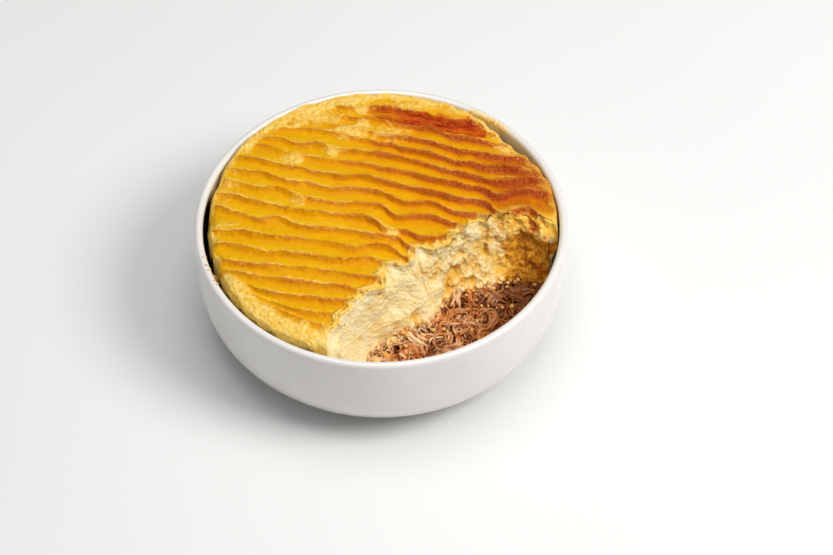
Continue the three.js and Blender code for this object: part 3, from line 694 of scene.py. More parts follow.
def crests(x):
    """y of each crest at each x, from back to front, kept at least a little apart, and of one more
    line beyond each end."""
    rows = [np.interp(x, *ridge_course(points)) for points in RIDGES]
    for number in range(1, len(rows)):
        rows[number] = np.minimum(rows[number], rows[number - 1] - LEAST_GAP)
    return np.stack([rows[0] + RUN_ON, *rows, rows[-1] - RUN_ON])


COURSE_X = np.linspace(-EXTENT, EXTENT, LOOK_UPS)
COURSE_Y = crests(COURSE_X)
STRENGTH = np.array([0, *RIDGE_STRENGTH, 0])


def crests_at(x):
    """The same, looked up for any x; the first axis is the crest."""
    return np.stack([np.interp(x, COURSE_X, course) for course in COURSE_Y])


def ridge_place(x, y):
    """The number of the crest behind a point, its distance in front of that crest, and the gap to
    the next crest."""
    rows = crests_at(x)
    number = np.clip((rows > y).sum(axis=0) - 1, 0, len(rows) - 2)
    behind = np.take_along_axis(rows, number[None], 0)[0]
    ahead = np.take_along_axis(rows, number[None] + 1, 0)[0]
    return number, behind - y, behind - ahead


def around(x, y, bearing, reach):
    """A bell over the points' bearing in degrees."""
    return bump((np.degrees(np.arctan2(y, x)) - bearing + 540) % 360 - 180, reach)


def bells_around(x, y, table):
    """The sum of such bells, by a table of bearings, half widths and heights."""
    return sum(height * around(x, y, bearing, reach) for bearing, reach, height in table)


def pulled_in(x, y):
    """How far the mash has shrunk from the wall at a point's bearing: a bell at each such place."""
    return bells_around(x, y, PULLED_IN)


def raised_share(x, y):
    """How far the mash stands up against the bowl's wall at a point's bearing, from 0 to 1."""
    return np.maximum.reduce([bells_around(x, y, [place]) for place in RAISED])


def outline_radius(x, y):
    """The mash's outer radius at a point's bearing, where its shoulder has dropped to the wall."""
    radius = np.maximum(np.hypot(x, y), 1)
    ex, ey = WAVER_RADIUS * x / radius, WAVER_RADIUS * y / radius
    rough = SHOULDER_ROUGHNESS * (1 + unevenness(ex, ey, WAVER_HEIGHT))
    return SHOULDER_RADII[-1] - 0.1 - pulled_in(x, y) - rough * (1 - raised_share(x, y))


def border(x, y):
    """How far in mm a point lies within the fork's work, negative in the border beside the rim:
    a mean radius less the bells where the border is wider and three noises."""
    flat = on_plane(x, y)
    reach = FORK_REACH - bells_around(x, y, WIDER_BORDER)
    return noises(flat, BORDER_WAVER, reach) - np.hypot(x, y)


def faint_share(x, y):
    """How far the ridges are pressed flat: the strongest of the bells at the faint places."""
    shares = [share * bump(x - a, c) * bump(y - b, d) for a, b, c, d, share in FAINT]
    return np.maximum.reduce(shares)


def crust_surface(x, y):
    """Height of the crust and the values its colours are mixed from.

    Height = a shallow dome + the ridges, each falling steeply to the front as a cosine and rising
    slowly from behind as a power, faded out in the border, + nicks and the scorings of the roasted
    patch, then melted into the shoulder profile with a soft minimum, + grains where it is rough."""
    flat = on_plane(x, y)
    radius = np.hypot(x, y)
    number, ahead, gap = ridge_place(x, y + noises(flat, RIDGE_WAVER))
    along = on_plane(x, number * RIDGE_STRIDE)
    next_along = along + np.array([0, RIDGE_STRIDE, 0])
    worked = mix(0.3, 1.0, smooth(-2.5, 2.5, border(x, y))) * (1 - 0.8 * faint_share(x, y))
    right = smooth(-30, 25, x + 0.3 * y)
    swell = np.clip(gap / FULL_GAP, 0.3, 1.1) * worked * mix(LEFT_DEPTH, 1.0, right)
    here = STRENGTH[number] * (0.85 + 0.3 * noise(along, 9, 6)) * swell
    there = STRENGTH[number + 1] * (0.85 + 0.3 * noise(next_along, 9, 6)) * swell
    front = np.minimum(mix(FRONT_WIDTH_LEFT, FRONT_WIDTH, right), FRONT_SHARE * gap)
    fall = (1 + np.cos(np.pi * np.clip(ahead / front, 0, 1))) / 2
    rise = np.clip((ahead - front) / (gap - front), 0, 1) ** BACK_POWER
    crown = CROWN_EDGE + CROWN_RISE * (1 - (radius / CROWN_RADIUS) ** 2)
    ridge = fall * here + rise * there
    top = crown + RIDGE_DEPTH * (ridge - 0.5 * worked * mix(LEFT_DEPTH, 1.0, right))
    top = top + noises(flat, NICKS) * (0.35 + 0.9 * ridge) + 0.3 * noise(flat, 12, 9)

    row = number + ahead / gap + 0.12 * noise(flat, 3, 10)
    patch = smooth(0.75, 1.1, row) * smooth(3.0, 2.8, row)
    roast = patch * smooth(44, 41, x + noise(flat, 2, 10)) * mix(
        0.75 * smooth(-16, 2, x + 3 * noise(flat, 4, 20)), 1.0, smooth(4, 12, x))
    scored = 1 - np.abs(np.sin(np.pi * (number + ahead / gap) * 2.5 + 0.4 * noise(flat, 6, 15)))
    top = top + 0.8 * roast * (scored - 0.5)

    body_radius = radius + pulled_in(x, y) + SHOULDER_ROUGHNESS * (1 + unevenness(x, y, 48.0))
    raised = raised_share(x, y)
    body = np.interp(body_radius - RAISED_OUT * raised, SHOULDER_RADII, SHOULDER_HEIGHTS)
    body = body - PULLED_SINK * pulled_in(x, y) - SHOULDER_ROUGHNESS * unevenness(y, x, 0.0)
    body = body + RAISED_LIFT * raised * smooth(RAISED_FROM, RAISED_FULL, radius)
    low = np.minimum(top, body)
    melt = np.exp(-(top - low) / ROUND_OVER) + np.exp(-(body - low) / ROUND_OVER)
    height = low - ROUND_OVER * np.log(melt)

    rim_side = smooth(2.4, -2.0, border(x, y) + 1.3 * noise(along, 5, 26))
    turned = on_plane(0.83 * x - 0.56 * y, 0.56 * x + 0.83 * y)
    torn_reach = mix(*TORN_REACH, smooth(15, 40, x))
    torn = smooth(torn_reach, 1.2, edge_distance(x, y) + noises(turned, TORN_WAVER))
    rough = np.maximum(rim_side, torn)
    grains = 0.3 * pebbles(flat, 2.2, 12) + 0.25 * noise(flat, 1.1, 13)
    height = height + rough * grains * smooth(46, 50, height)

    heat = smooth(-40, 52, x + 0.35 * y) ** 1.2
    heat = heat + 0.4 * bump(np.hypot(x + 22, y + 46), 22)
    heat = heat - 0.35 * smooth(32, 52, y) * smooth(20, -5, x)
    heat = np.clip(heat + 0.2 * noise(flat, 12, 18), 0, 1)
    # painted sheen: pale streaks across the crust towards the back and left
    streaks = noise(flat * np.array([0.3, 1, 1]), 2.4, 27)
    back_sheen = 0.75 * smooth(34, 48, y) * smooth(20, 0, x) * smooth(0.05, 0.5, streaks) * (1 - roast)
    scorch = smooth(34, 54, x + 2 * noise(flat, 5, 25)) * smooth(-1, 6, y) * smooth(40, 30, y)
    thin = 1.35 + 0.8 * heat + 1.4 * scorch + (0.4 + 0.5 * heat) * noise(along, 4, 14)
    thin = thin + 0.3 * noise(along, 1.3, 19)
    crest = np.maximum(smooth(thin, 0.3 * thin, ahead) * smooth(0, 0.5, here),
                       smooth(0.3, 0.0, gap - ahead) * smooth(0, 0.5, there))
    crest = crest * np.clip(0.75 + 0.6 * noise(along, 7, 16) + 0.5 * heat, 0, 1)
    glow = smooth(thin + 2.2, 0.5 * thin, ahead) * smooth(0, 0.5, here)
    # lip: where the painted highlight lies, along the back of the next crest
    lip = smooth(1.5, 0.5, gap - ahead) * smooth(0, 0.5, there)
    lip = lip * smooth(-0.4, 0.5, noise(next_along, 7, 17))
    # pale: the rough border and torn edge in their own colour, the faint places' paleness partly a
    # painted highlight, and painted sheen at the back
    pale = [rim_side, torn * mix(1.0, 0.3, smooth(46, 51, x)), 0.95 * faint_share(x, y), back_sheen]
    values = {
        # lit_rise: the share of the way up the gentle rise, along which the furrow is painted lighter,
        # as if lit from behind
        "crest": crest, "glow": glow, "lip": lip, "lit_rise": (ahead - front) / (gap - front),
        "oven": heat, "scorch": scorch, "roast": roast * (1 - 0.4 * smooth(0.66, 0.92, scored)),
        "pale": np.maximum.reduce(pale), "burnt_and_gap_shade": np.zeros_like(x),
    }
    return height, {key: np.clip(value, 0, 1) for key, value in values.items()}


def crust_rows():
    """The row numbers of the crust's grid as crest number + share of the way to the next crest,
    spaced by the mean gap there."""
    gaps = -np.diff(COURSE_Y[:, np.abs(COURSE_X) < 55].mean(axis=1))
    parts = [number + np.linspace(0, 1, max(3, round(gap / ROW_SPACING)), endpoint=False)
             for number, gap in enumerate(gaps)]
    return np.concatenate([*parts, [len(gaps)]])


def row_points(rows, x):
    """y of each row at x: the crest behind and the crest ahead, blended by the share."""
    number = np.minimum(rows.astype(int), len(COURSE_Y) - 2)
    share = rows - number
    lines = crests_at(x)
    columns = np.arange(x.shape[-1])
    if x.ndim == 1:
        return mix(lines[number][:, columns], lines[number + 1][:, columns], share[:, None])
    index, number = np.arange(len(rows))[:, None], number[:, None]
    return mix(lines[number, index, columns], lines[number + 1, index, columns], share[:, None])


def crust():
    """The mash's ridged top as rows that follow the ridges from border to border, with its side
    taken down to the mash's foot and closed there."""
    x = np.linspace(-RIM_RADIUS, RIM_RADIUS, SCAN_STEPS)
    rows = crust_rows()
    grid_y = row_points(rows, x)
    grid_x = np.broadcast_to(x, grid_y.shape)
    kept = np.hypot(grid_x, grid_y) < outline_radius(grid_x, grid_y)
    kept &= inside_hollow(grid_x, grid_y, EDGE_X, EDGE_Y) < 0
    used = kept.sum(axis=1) > SHORTEST_ROW
    rows, kept = rows[used], kept[used]
    left = x[kept.argmax(axis=1)]
    right = x[len(x) - 1 - kept[:, ::-1].argmax(axis=1)]
    retreat = RIGHT_RETREAT * np.arange(len(right))
    right = np.maximum.accumulate(right + retreat) - retreat

    share = np.linspace(0, 1, CRUST_COLUMNS)
    share = share - END_CROWDING * np.sin(2 * np.pi * share) / (2 * np.pi)
    px = mix(left[:, None], right[:, None], share[None])
    py = row_points(rows, px)
    over = inside_hollow(px, py, EDGE_X, EDGE_Y)
    py = np.where(over > 0, py + over * EDGE_PULL, py)
    pz, values = crust_surface(px, py)
    top = np.stack([px, py, pz], axis=-1)

    count_rows = len(rows)
    number = np.arange(count_rows * CRUST_COLUMNS).reshape(count_rows, CRUST_COLUMNS)
    loop = np.concatenate([number[:-1, 0], number[-1, :-1], number[:0:-1, -1], number[0, :0:-1]])
    ring = top.reshape(-1, 3)[loop]
    ring_radius = np.hypot(ring[:, 0], ring[:, 1])
    cut = ring_radius < outline_radius(ring[:, 0], ring[:, 1]) - 1
    behind = ring[:, :2] - HOLLOW_MIDDLE
    behind = behind / np.linalg.norm(behind, axis=-1, keepdims=True)
    levels = []
    for step in range(1, SKIRT_STEPS + 1):
        level = mix(ring[:, 2], MASH_FOOT, step / SKIRT_STEPS)
        spread = smooth(1, 3, step)
        wall = inner_radius(level) - GAP
        radius = np.minimum(mix(ring_radius, wall, spread), wall)
        radius = np.where(cut, np.minimum(ring_radius, wall), radius)
        away = np.where(cut, SKIRT_SET_BACK * smooth(0, 2, step), 0)[:, None] * behind
        side = ring[:, :2] * (radius / ring_radius)[:, None] + away
        levels.append(np.column_stack([side, level]))
    count = len(loop)
    base = number.size
    rings = np.vstack([loop, base + np.arange(SKIRT_STEPS * count).reshape(SKIRT_STEPS, count)])
    rings = np.hstack([rings, rings[:, :1]])
    middle = base + SKIRT_STEPS * count
    points = np.vstack([top.reshape(-1, 3), *levels, [[*UNDER_CRUST, MASH_FOOT]]])
    faces = [grid_faces(count_rows, CRUST_COLUMNS), quads_between(rings),
             fan(middle, rings[-1, :-1][::-1])]
    # the side against the bowl's wall is painted near black, as burnt crust and painted shade of the
    # gap; the side under the hollow's edge is not
    against_wall = np.concatenate([np.tile(np.where(cut, 0.0, 1.0), SKIRT_STEPS), [0]])
    values = {key: np.concatenate([value.ravel(), against_wall * (key == "burnt_and_gap_shade")])
              for key, value in values.items()}
    return piece("mash_crust", points, faces, browned_crust(), ["mash"], values)


# ---- Broken face of the mash ---------------------------------------------------------------

FACE_COLUMNS = 430
FACE_ROWS = 110
FACE_SPAN = (0.05, 0.955)  # the stretch of the hollow's edge that the face takes up
LEAD = 3  # how far behind the hollow's edge the face begins
LEAD_ROWS = 12
LEAD_DIP = 0.8  # how deep under the crust it begins
LEAD_THICKNESS = 2.5
EDGE_SOFTENING = 30  # columns over which the wall is averaged below the edge
CAVITIES = [  # x, height, reach across, reach up and depth
    (28, 36, 2.6, 2.8, 3.2), (25.5, 32, 1.6, 2.6, 2.4), (30.5, 43, 2.6, 1.3, 1.8),
    (42, 39.5, 1.3, 3.2, 2.2), (45.5, 44, 1.6, 1.6, 1.6), (36, 31, 3.0, 1.6, 2.0),
    (10.5, 32.5, 1.8, 2.2, 2.6), (48, 32, 1.8, 2.0, 1.6),
    (38, 45, 1.8, 1.2, 1.4), (4, 31, 1.2, 2.4, 1.2), (55.5, 38, 4.6, 6.5, 3.4),
    (62, 41, 1.6, 2.2, 1.4), (20, 41, 1.4, 1.0, 1.0), (60.5, 31, 2.0, 2.4, 1.8),
    (33, 38, 1.2, 1.8, 1.2), (13, 45, 0.9, 2.6, 0.7),
]
TOE_X = [0, 5, 12, 20, 28, 40, 50, 56]
TOE_REACH = [0, 3, 6, 6.5, 5, 4.5, 3, 1]  # how far the face's foot spreads over the meat at each x
EMBERS = [  # the reddened places: x, height, reach across, reach up and share
    (61, 49, 2.8, 3.2, 0.9), (63, 32, 2.4, 3.6, 0.8), (68, 41, 1.6, 4.0, 0.8), (66, 47, 1.2, 1.6, 0.6),
    (33.5, 50.5, 1.6, 1.2, 0.6), (47, 49, 1.0, 2.6, 0.5),
]


def softened(points, reach):
    """The running mean of points along their second axis, over reach places to each side."""
    padded = np.pad(points, ((0, 0), (reach + 1, reach), (0, 0)), mode="edge")
    total = np.cumsum(padded, axis=1)
    return (total[:, 2 * reach + 1:] - total[:, :-2 * reach - 1]) / (2 * reach + 1)


def face():
    """The broken mash round the hollow: a closed wedge that starts just under the crust behind the
    hollow's edge and runs over the edge and down to the meat, pushed out along the wall's inward
    direction by lumps of three sizes, pitted by bell-shaped cavities and spread over the meat at
    its foot. Its left part is scraped smooth and slopes evenly."""
    along = np.linspace(*FACE_SPAN, FACE_COLUMNS)
    drop = np.linspace(0, 1, FACE_ROWS)
    lead = np.linspace(1, 0, LEAD_ROWS, endpoint=False)[:, None]
    grid_along, grid_drop = np.meshgrid(along, drop)
    edge_place, _ = hollow_wall(grid_along, np.full(grid_along.shape, EDGE_LEVEL))
    crown, _ = crust_surface(edge_place[..., 0], edge_place[..., 1])
    height = mix(crown, MASH_FOOT, grid_drop)
    place, inwards = hollow_wall(grid_along, height)
    place = mix(place, softened(place, EDGE_SOFTENING), smooth(0.0, 0.2, grid_drop)[..., None])
    lead_place = edge_place[:1] - inwards[:1] * (LEAD * lead)[..., None]
    lead_crown, _ = crust_surface(lead_place[..., 0], lead_place[..., 1])
    height = np.vstack([lead_crown, height])
    place = np.concatenate([lead_place, place])
    inwards = np.concatenate([np.repeat(inwards[:1], LEAD_ROWS, axis=0), inwards])
    drop = np.concatenate([-lead, drop[:, None]]) + np.zeros_like(height)
    x = place[..., 0]
    solid = np.concatenate([place, height[..., None]], axis=-1)
    warped = solid + 0.5 * np.stack([noise(solid, 2.2, seed) for seed in (44, 45, 46)], axis=-1)
    rugged = smooth(12, 24, x + 3 * noise(solid, 6, 33))
    rugged = np.maximum(rugged, 0.7 * smooth(0.72, 0.9, drop))
    big, middling = pebbles(warped, 4.6, 31), pebbles(warped, 2.1, 34)
    fine = 0.5 * pebbles(solid, 1.3, 36) + 0.25 * noise(solid, 0.7, 37) - 0.22
    lumps = 1.6 * big + 0.85 * middling + fine + 0.8 * noise(solid, 7, 35) - 1.5
    y = place[..., 1]
    scraped = np.stack([(x + y) * 0.4, (x - y) * 0.5, height + 0.25 * x], axis=-1)
    flakes = 0.35 * pebbles(scraped, 1.7, 38) + 0.25 * noise(scraped, 4, 39)
    g = FACE_GRAIN
    grit = 0.45 * pebbles(solid, 0.9, 29) + 0.8 * fine
    plain = flakes + grit - 0.5 - 0.4 * FACE_LUMP * unevenness(x * g, y * g, height * g)
    push = mix(plain, lumps, rugged)
    pit = 0
    for at, level, reach, rise, depth in CAVITIES:
        away = np.hypot((x - at) / reach, (height - level) / rise) + 0.35 * noise(solid, 1.6, 41)
        pit = pit + depth * bump(np.maximum(away, 0), 1)
    even = np.maximum(smooth(32, 22, x), 0.6 * smooth(48, 41, x))
    sloping = mix(smooth(0.45, 0.95, drop), np.clip((drop - 0.02) / 0.9, 0, 1), even)
    toe = np.interp(x, TOE_X, TOE_REACH) * sloping
    push = (push + toe - pit) * smooth(-0.02, 0.09, drop)
    front = place + inwards * push[..., None]
    crumbly = 0.7 * pebbles(warped, 1.9, 48) + 0.4 * noise(solid, 4, 50) + 0.7 * fine - 0.45
    lift = crumbly * smooth(-1.0, -0.15, drop) * smooth(0.2, 0.02, drop)
    lift = lift - LEAD_DIP * np.maximum(-drop, 0) ** 1.3
    lift = lift + 0.3 * smooth(-0.5, -0.1, drop) * smooth(0.15, 0.0, drop)
    beyond = np.where(drop < 0, LEAD * drop, (CROWN_EDGE - MASH_FOOT) * drop)
    lift = lift - 0.6 * bump(np.abs(beyond - 1.7), 2.4)
    front = np.concatenate([front, (height + lift)[..., None]], axis=-1)
    back = front[:1] - np.array([0, 0, LEAD_THICKNESS])
    back_foot = back * np.array([1, 1, 0]) + np.array([0, 0, MASH_FOOT])
    grid = keep_in_bowl(np.concatenate([back_foot, back, front], axis=0))
    rows, columns = grid.shape[:2]
    points = np.vstack([grid.reshape(-1, 3), grid[:, 0].mean(axis=0), grid[:, -1].mean(axis=0)])
    number = np.arange(rows * columns).reshape(rows, columns)
    faces = [grid_faces(rows, columns, wrap_rows=True),
             fan(rows * columns, number[:, 0][::-1]), fan(rows * columns + 1, number[:, -1])]

    # painted shade: ochre in the hollows, pits and crevices of the face
    hollow_shade = 0.05 + 0.75 * smooth(0.25, -1.1, lumps) * rugged + 0.4 * pit
    hollow_shade = hollow_shade + 0.4 * smooth(0.0, -0.4, fine) * rugged
    hollow_shade = hollow_shade + 0.5 * smooth(0.05, -0.75, plain) * (1 - rugged)
    hollow_shade = np.where(drop < 0.08, 0.15 * smooth(0.3, -0.5, crumbly), hollow_shade)
    # golden-brown at the right, next to the wall, as gravy and painted shadow, and at the foot as gravy
    # alone
    gravy_and_shade = smooth(46.5, 53, x + 3 * noise(solid, 3, 43))
    gravy_and_shade = gravy_and_shade * smooth(47.5, 43, height + 3 * noise(solid, 3, 49))
    gravy_and_shade = np.maximum(gravy_and_shade, smooth(0.86, 0.98, drop) * smooth(20, 34, x))
    yolk = smooth(0.2, -0.22, drop) * mix(0.75, 1.25, smooth(14, 50, x))
    yolk = yolk + 0.8 * smooth(38, 54, x) * (1 - gravy_and_shade)
    ember = np.maximum.reduce([share * bump(x - at, reach) * bump(height - level, rise)
                               for at, level, reach, rise, share in EMBERS])
    values = {"hollow_shade": hollow_shade, "gravy_and_shade": gravy_and_shade, "yolk": yolk, "ember": ember}
    filler = np.zeros((2, columns))
    values = {key: np.concatenate([np.vstack([filler, np.clip(value, 0, 1)]).ravel(), [0, 0]])
              for key, value in values.items()}
    return piece("mash_face", points, faces, broken_mash(), ["mash"], values)


# ---- Meat ----------------------------------------------------------------------------------

BED_AROUND = 300
BED_RINGS = 110
BED_SIDE_STEPS = 10
BED_TOP = MEAT_TOP - 0.2
BED_TURN = MEAT_TOP - 2  # height at which the bed's side begins
BED_RELIEF = 1.5
BED_SWELL = [(1.9, 5.5, 53)]  # noises: amount, size and seed
BED_LUMPS = [(0.9, 2.2, 51), (0.5, 1, 52)]
REST_SHARE = 0.8  # how much of the bed's relief a thing lying on it follows
REST_RANGE = (-0.5, 4)
EXTRA_SHREDS = 300
FIBRES = 700
RISE_COLUMN = 4  # of a table of shreds
FLATTENED = 0.7  # how much of their rise the part's own shreds keep


def meat_relief(x, y):
    """Height of the bare meat over its foot: the part's unevenness and a broad noise."""
    flat = on_plane(x, y)
    return noises(flat, BED_SWELL, BED_RELIEF * (0.5 + unevenness(x, y, 0.0)))


def resting_height(x, y):
    """Height at which a thing lies on the bare meat: its foot + a share of its relief, kept in range."""
    return MEAT_TOP + REST_SHARE * np.clip(meat_relief(x, y), *REST_RANGE)


def bed():
    """The bed of meat: a disc of rings that is lumpy where the hollow bares it, turned down at the
    bowl's wall and closed along the corner's curve to the floor."""
    angle = np.linspace(0, 2 * np.pi, BED_AROUND, endpoint=False)
    radius = np.linspace(0, inner_radius(MEAT_TOP) - GAP, BED_RINGS + 1)[1:]
    x, y = polar(radius[:, None], angle)
    flat = on_plane(x, y)
    bare = smooth(0.5, 3.5, inside_hollow(x, y, FOOT_X, FOOT_Y))
    relief = noises(flat, BED_LUMPS, meat_relief(x, y))
    z = BED_TOP + bare * np.maximum(relief - 0.6, -0.8)
    quarter = np.linspace(BED_TURN, INNER_FLOOR + GAP, BED_SIDE_STEPS)
    side_radius = inner_radius(quarter) - GAP
    side = np.stack([*polar(side_radius[:, None], angle),
                     np.repeat(quarter[:, None], BED_AROUND, axis=1)], axis=-1)
    grid = np.concatenate([np.stack([x, y, z], axis=-1), side], axis=0)
    points = np.vstack([grid.reshape(-1, 3), [[0, 0, BED_TOP], [0, 0, INNER_FLOOR + GAP]]])
    # painted shade: darkest in the bed's hollows and all down its side
    dark = np.concatenate([smooth(1.2, -0.6, relief).ravel(), np.ones(len(points) - relief.size)])
    faces = tube_faces(len(grid), BED_AROUND)
    return piece("meat_bed", points, faces, gravy_meat(), ["meat"], {"hollow_shade": dark})


def bare_place(along, across):
    """A place on the bare meat, by its share along the hollow's foot and across to the bowl's wall."""
    foot = through(HOLLOW_FOOT, mix(*BARE_FOOT, along))
    bearing = np.radians(mix(*BARE_WALL, along))
    wall = np.stack(polar(inner_radius(MEAT_TOP), bearing), axis=-1)
    return mix(foot, wall, across[..., None])


def repeatable(seed):
    """Endless repeatable numbers from 0 to 1, by the part's own multiply-and-add rule."""
    state = seed
    while True:
        state = (state * 1664525 + 1013904223) % 4294967296
        yield state / 4294967296


def placed_shreds():
    """The part's own shreds: one row for each, with its middle, heading, length, rise, tilt, sway,
    width and thickness, drawn in the part's order."""
    draws = repeatable(SHRED_SEED)
    spot = lambda a, b: bare_place(np.array(a), np.array(b))
    columns = round(float(np.linalg.norm(spot(1.0, 0.5) - spot(0.0, 0.5))) / SHRED_SPACING)
    rows = []
    for column in range(columns):
        along = (column + 0.5) / columns
        across = float(np.linalg.norm(spot(along, 1.0) - spot(along, 0.0)))
        count = max(1, round(across / SHRED_SPACING))
        for row in range(count):
            share = (row + mix(0.2, 0.8, next(draws))) / count
            middle = spot((column + mix(0.1, 0.9, next(draws))) / columns, share)
            heading = next(draws) * np.pi
            length = mix(*SHRED_LENGTH, next(draws))
            rise = mix(*SHRED_RISE, next(draws))
            tilt = mix(-SHRED_TILT, SHRED_TILT, next(draws))
            sway = mix(-SHRED_SWAY, SHRED_SWAY, next(draws)) * length
            width = mix(*SHRED_WIDTH, next(draws))
            thick = mix(*SHRED_THICKNESS, next(draws))
            rows.append((*middle, heading, length, rise, tilt, sway, width, thick))
    return np.array(rows)


def drawn_shreds(count, seed, length, width, rise, flatness):
    """More shreds of the same kind, spread at random over the bare meat."""
    random = np.random.default_rng(seed)
    middle = bare_place(random.uniform(0.0, 1.0, count), random.uniform(0.0, 0.97, count))
    size = random.uniform(*length, count)
    return np.column_stack([
        middle, random.uniform(0, np.pi, count), size, random.uniform(*rise, count),
        random.uniform(-4, 4, count), random.uniform(-0.35, 0.35, count) * size,
        random.uniform(*width, count), random.uniform(*width, count) * flatness,
    ])


def strands(table, steps, sides, seed):
    """Strips along arched paths. Path: share x length ahead, sway and rise x (1 - 4 share^2) aside and
    up, tilt x share. Section: an ellipse with grooves, turned slowly along the strip and tapered
    to a blunt tip as the fourth root of 1 - (2 share)^6."""
    x, y, heading, length, rise, tilt, sway, width, thick = (column[:, None] for column in table.T)
    random = np.random.default_rng(seed)
    count = len(table)
    share = np.linspace(-0.5, 0.5, steps)[None]
    arch = 1 - 4 * share ** 2
    turns = share * random.uniform(0.8, 2, (count, 1)) + random.random((count, 1))
    wave = 0.35 * np.sin(2 * np.pi * turns)
    ahead, aside = share * length, sway * arch + wave
    up = resting_height(x, y) + rise * arch + tilt * share - SHRED_DIP + 0.5 * wave
    path = np.stack([x + ahead * np.cos(heading) - aside * np.sin(heading),
                     y + ahead * np.sin(heading) + aside * np.cos(heading), up], axis=-1)
    tangent = np.gradient(path, axis=1)
    tangent /= np.linalg.norm(tangent, axis=-1, keepdims=True)
    side = np.cross(tangent, [0, 0, 1])
    side /= np.linalg.norm(side, axis=-1, keepdims=True)
    upright = np.cross(side, tangent)
    turn = random.uniform(0, np.pi, (count, 1)) * 0.35 + random.uniform(-1.2, 1.2, (count, 1)) * share
    angle = np.linspace(0, 2 * np.pi, sides, endpoint=False)
    groove = 1 + 0.22 * np.cos(3 * angle + random.uniform(0, 6, (count, 1)))[:, None] \
        + 0.18 * random.standard_normal((count, steps, sides))
    taper = np.maximum(1 - (2 * np.abs(share)) ** 6, 0.02)[..., None] ** 0.25
    a = width[..., None] / 2 * np.cos(angle) * groove * taper
    b = thick[..., None] / 2 * np.sin(angle) * groove * taper
    c, s = np.cos(turn)[..., None], np.sin(turn)[..., None]
    points = path[:, :, None] + side[:, :, None] * (a * c - b * s)[..., None] \
        + upright[:, :, None] * (a * s + b * c)[..., None]
    ends = path[:, [0, -1]]
    block = np.concatenate([points.reshape(count, -1, 3), ends], axis=1)
    one = steps * sides
    tone = np.repeat(random.random(count) ** 1.1, one + 2)
    # painted shade: each strand darker where it lies low, near the bed
    tone = tone * smooth(-1.5, 2.0, block[..., 2].ravel() - MEAT_TOP - 1.5)
    grain = np.empty((count, one + 2, 2))
    grain[:, :one, 0] = ((share * length * 0.35)[..., None] + np.zeros(sides)).reshape(count, -1)
    across = np.tile(np.abs(angle - np.pi) * 1.6, (count, steps))
    grain[:, :one, 1] = across + random.random((count, 1)) * 40
    grain[:, one:] = grain[:, one - 2:one]
    return block.reshape(-1, 3), many_tubes(steps, sides, count), tone, grain


def join(parts):
    """Joins (points, faces, tone, grain) blocks into one, renumbering the faces."""
    points, faces, start = [], [], 0
    for block, block_faces, _, _ in parts:
        faces += [part + start for part in block_faces]
        points.append(block)
        start += len(block)
    tone = np.concatenate([part[2] for part in parts])
    grain = np.concatenate([part[3].reshape(-1, 2) for part in parts])
    return np.vstack(points), faces, tone, grain


def bundles(table, count, seed, width):
    """Each shred as several thin fibres along its path, spread across its width and thickness, a
    little turned, shifted and shortened."""
    random = np.random.default_rng(seed)
    rows = np.repeat(table, count, axis=0)
    amount = len(rows)
    x, y, heading, length, rise, tilt, sway, broad, thick = rows.T
    aside = random.uniform(-0.55, 0.55, amount) * broad
    ahead = random.normal(0, 0.07, amount) * length
    x = x + ahead * np.cos(heading) - aside * np.sin(heading)
    y = y + ahead * np.sin(heading) + aside * np.cos(heading)
    rise = rise * random.uniform(0.75, 1.05, amount) + random.uniform(-0.4, 0.4, amount) * thick
    own = random.uniform(*width, amount)
    return np.column_stack([
        x, y, heading + random.normal(0, 0.13, amount), length * random.uniform(0.65, 1.05, amount),
        rise, tilt + random.normal(0, 0.5, amount), sway * random.uniform(0.7, 1.3, amount), own,
        own * random.uniform(0.6, 0.95, amount),
    ])


def shreds():
    """All shreds that show, joined: the part's own as bundles of fibres, smaller bundles between
    them, and fine loose fibres."""
    own = placed_shreds()
    own[:, RISE_COLUMN] *= FLATTENED
    more = drawn_shreds(EXTRA_SHREDS, seed=61, length=(4, 10), width=(1.2, 2.4), rise=(0.4, 2.4),
                        flatness=0.6)
    fine = drawn_shreds(FIBRES, seed=62, length=(2.5, 8), width=(0.3, 0.7), rise=(0.8, 3.2),
                        flatness=0.75)
    points, faces, tone, grain = join([
        strands(bundles(own, count=6, seed=66, width=(0.9, 1.7)), steps=11, sides=6, seed=63),
        strands(bundles(more, count=3, seed=67, width=(0.7, 1.4)), steps=8, sides=5, seed=64),
        strands(fine, steps=7, sides=4, seed=65),
    ])
    points = keep_in_bowl(points, clearance=0.5)
    # painted light on the strands that stand high
    tone = tone + 0.35 * smooth(3, 5, points[:, 2] - MEAT_TOP)
    # painted light at the left, and painted shadow of the bowl's right wall towards the right, in tone
    # and shade
    tone = np.clip(tone * mix(1.25, 0.35, smooth(12, 60, points[:, 0])), 0, 1)
    shade = 0.6 * smooth(30, 60, points[:, 0])
    return piece("meat_shreds", points, faces, meat_fibre(), ["meat"],
                 {"tone": tone, "shade": shade}, grain)


# ---- Crumbs --------------------------------------------------------------------------------

ON_EDGE, AT_FOOT, ON_MEAT, ON_BORDER = 24, 150, 90, 130  # how many crumbs lie at each place
ON_RIM = [(201, 7, 22), (50, 4, 10)]  # bearing, spread and number
LIP_CROWN = 73.3  # radius at which the lip is highest


